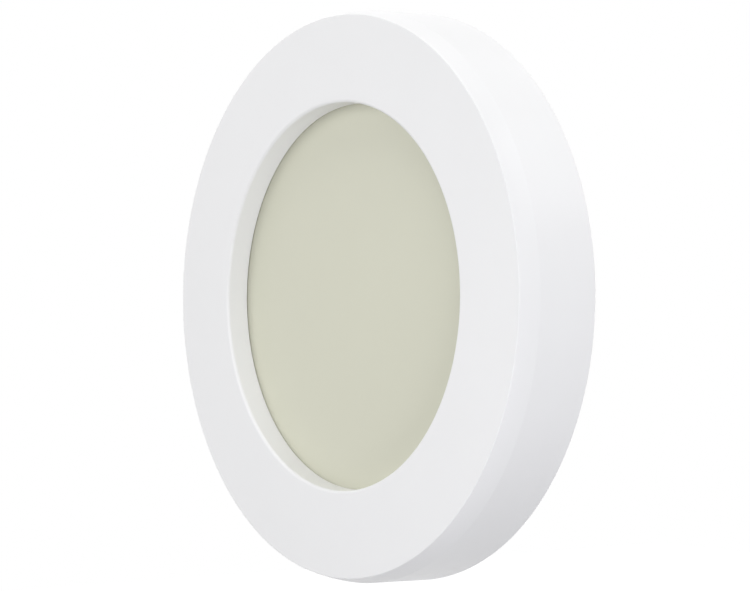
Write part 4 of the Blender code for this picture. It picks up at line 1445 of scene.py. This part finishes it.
@dataclass
class LightSource(Assembly):
    """Heat spreader, LED board, its leads and the reflector round it."""

    lead_hole: float = 0.0045
    disc_edge: float = 0.0003
    led_count: int = 12
    led_base: float = 0.0008
    led_dome: float = 0.0024
    led_edge: float = 0.0002
    lead_radius: float = 0.0007
    lead_bend: float = 0.0018
    reflector_wall: float = 0.0012
    reflector_base: float = 0.0860

    def discs(self) -> None:
        """Spreader and board, each with holes for the screws and the leads."""
        red, black = Span.of("lead_red"), Span.of("lead_black")
        holes = [circle_loop(self.lead_hole, BORE_SEGMENTS, ((red.x + black.x) / 2.0, red.z))]
        holes += self.screws(BOARD_SCREW, BOARD_SCREWS)
        for name, slot, node in (
            ("spreader_disc", "aluminium", "heat_spreader"),
            ("led_panel", "white_board", "led_board"),
        ):
            span = Span.of(node)
            loops = [circle_loop(span.radius, RING_SEGMENTS, hole=False), *holes]
            self.fit(solid(name, plate(loops, span.back, span.front, self.disc_edge)), slot, node)

    def leds(self) -> None:
        """LEDs, each a round base with an elliptic dome: r = R cos t, d = s + h sin t."""
        t = np.linspace(0.0, math.pi / 2.0, CURVE_STEPS)
        radius = self.led_dome * np.cos(t)
        radius[-1] = 0.0
        for node in numbered("led", self.led_count, 2):
            span = Span.of(node)
            shelf = span.back + self.led_base
            base = block(0.0, span.radius, span.back, shelf, self.led_edge)[:-1]
            dome = np.stack([radius, shelf + (span.front - shelf) * np.sin(t)], 1)
            outline = np.concatenate([base, dome])
            self.lathe(f"domed_{node}", outline, "amber_silicone", node, POST_SEGMENTS)

    def leads(self) -> None:
        """Insulated leads, each up from the driver board and over to its pad."""
        base = Span.of("led_01").back
        for node, slot, side in (
            ("lead_red", "red_insulation", -1.0),
            ("lead_black", "black_moulding", 1.0),
        ):
            span = Span.of(node)
            reach, top = side * (span.radius - self.lead_radius), span.front - self.lead_radius
            path = rounded([
                (span.x - reach, span.back, 0.0),
                (span.x - reach, top, self.lead_bend),
                (span.x + reach, top, self.lead_bend),
                (span.x + reach, base, 0.0),
            ], CURVE_STEPS)
            self.fit(solid(f"bent_{node}", tube(path, self.lead_radius, span.z)), slot, node)

    def reflector(self) -> None:
        """Thin cone round the board that throws stray light forward."""
        span, wall, edge = Span.of("reflector"), self.reflector_wall, self.led_edge
        outline = rounded([
            (self.reflector_base, span.back, edge),
            (self.reflector_base + wall, span.back, edge),
            (span.radius, span.front, edge),
            (span.radius - wall, span.front, edge),
        ])
        self.lathe("reflector_cone", outline, "white_board", "reflector")

    def build(self) -> None:
        """Make each piece of the light source."""
        self.discs()
        self.leds()
        self.leads()
        self.reflector()


@dataclass
class Driver(Assembly):
    """Driver board and what stands on it."""

    board_corner: float = 0.0020
    board_edge: float = 0.0002
    block_corner: float = 0.0010
    block_edge: float = 0.0004
    wire_hole: float = 0.0024
    wire_depth: float = 0.0030
    wire_pitch: float = 0.0050
    wire_edge: float = 0.00005
    waist: float = 0.0044
    drum_flange: float = 0.0012
    winding: float = 0.0004
    capacitor_count: int = 2
    crimp: float = 0.0004
    crimp_height: float = 0.00115

    def slab(self, node: str, corner: float, edge: float, *holes: Loop) -> Surface:
        """Flat block with rounded corners and edges in the place of a node.

        Args:
            node: The node.
            corner: Radius of its corners.
            edge: Radius of its edges.
            holes: Edges of the holes through it.

        Returns:
            The block.
        """
        span = Span.of(node)
        loop = rect_loop(2.0 * span.radius, 2.0 * span.rise, corner, span.at)
        return plate([loop, *holes], span.back, span.front, edge)

    def flats(self) -> None:
        """Board, rectifier, and the terminal block with a wire hole for each way."""
        holes = self.screws(BOARD_SCREW, DRIVER_SCREWS)
        board = self.slab("driver_board", self.board_corner, self.board_edge, *holes)
        self.fit(solid("driver_panel", board), "green_board", "driver_board")
        rectifier, terminal = (
            self.slab(node, self.block_corner, self.block_edge)
            for node in ("bridge_rectifier", "terminal_block")
        )
        self.fit(solid("rectifier_block", rectifier), "black_moulding", "bridge_rectifier")
        span, half = Span.of("terminal_block"), self.wire_hole / 2.0
        middle = (span.back + span.front) / 2.0
        mouth = block(-half, half, middle - half, middle + half, 0.0)
        wire = prism(mouth, 2.0 * self.wire_depth, self.wire_edge)
        places = (span.x - self.wire_pitch / 2.0, span.x + self.wire_pitch / 2.0)
        wires = merged([wire.moved(x, span.z + span.rise) for x in places])
        piece = worked(solid("wire_terminal", terminal), wires, Cut.REMOVE)
        self.fit(piece, "green_moulding", "terminal_block")

    def choke(self) -> None:
        """Drum inductor, its waist wound with wire: each turn is a half circle of the outline."""
        span, flange = Span.of("inductor"), self.drum_flange
        low, high = span.back + flange, span.front - flange
        depth = np.linspace(low, high, THREAD_STEPS * round((high - low) / self.winding) + 1)
        turns = np.abs(np.sin(math.pi * (depth - low) / self.winding)) * self.winding / 2.0
        winding = np.stack([self.waist + turns - self.winding / 2.0, depth], 1)
        lower = block(0.0, span.radius, span.back, low, self.board_edge)[:-1]
        upper = block(0.0, span.radius, high, span.front, self.board_edge)[1:]
        outline = np.concatenate([lower, winding, upper])
        self.lathe("choke_drum", outline, "black_moulding", "inductor", BORE_SEGMENTS)

    def capacitors(self) -> None:
        """Low cans with a crimped neck."""
        for node in numbered("capacitor", self.capacitor_count):
            span, crimp, fold = Span.of(node), self.crimp, self.crimp / 2.0
            neck, radius = span.back + self.crimp_height, span.radius
            outline = rounded([
                (0.0, span.back, 0.0),
                (radius, span.back, fold),
                (radius, neck - crimp, fold),
                (radius - crimp, neck, fold),
                (radius, neck + crimp, fold),
                (radius, span.front, crimp),
                (0.0, span.front, 0.0),
            ])
            self.lathe(f"can_{node}", outline, "aluminium", node, BORE_SEGMENTS)

    def build(self) -> None:
        """Make the board and each piece on it."""
        self.flats()
        self.choke()
        self.capacitors()


def main() -> None:
    """Load the frame, set the studio and build each sub-assembly round it."""
    logging.basicConfig(level=logging.INFO, format="%(name)s %(message)s")
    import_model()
    Studio().build(Span.of("bezel").front)
    finishes = {finish.slot: finish.material() for finish in FINISHES}
    for assembly in (Bezel, Front, Housing, WallMount, LightSource, Driver):
        assembly(finishes).build()


if __name__ == "__main__":
    main()
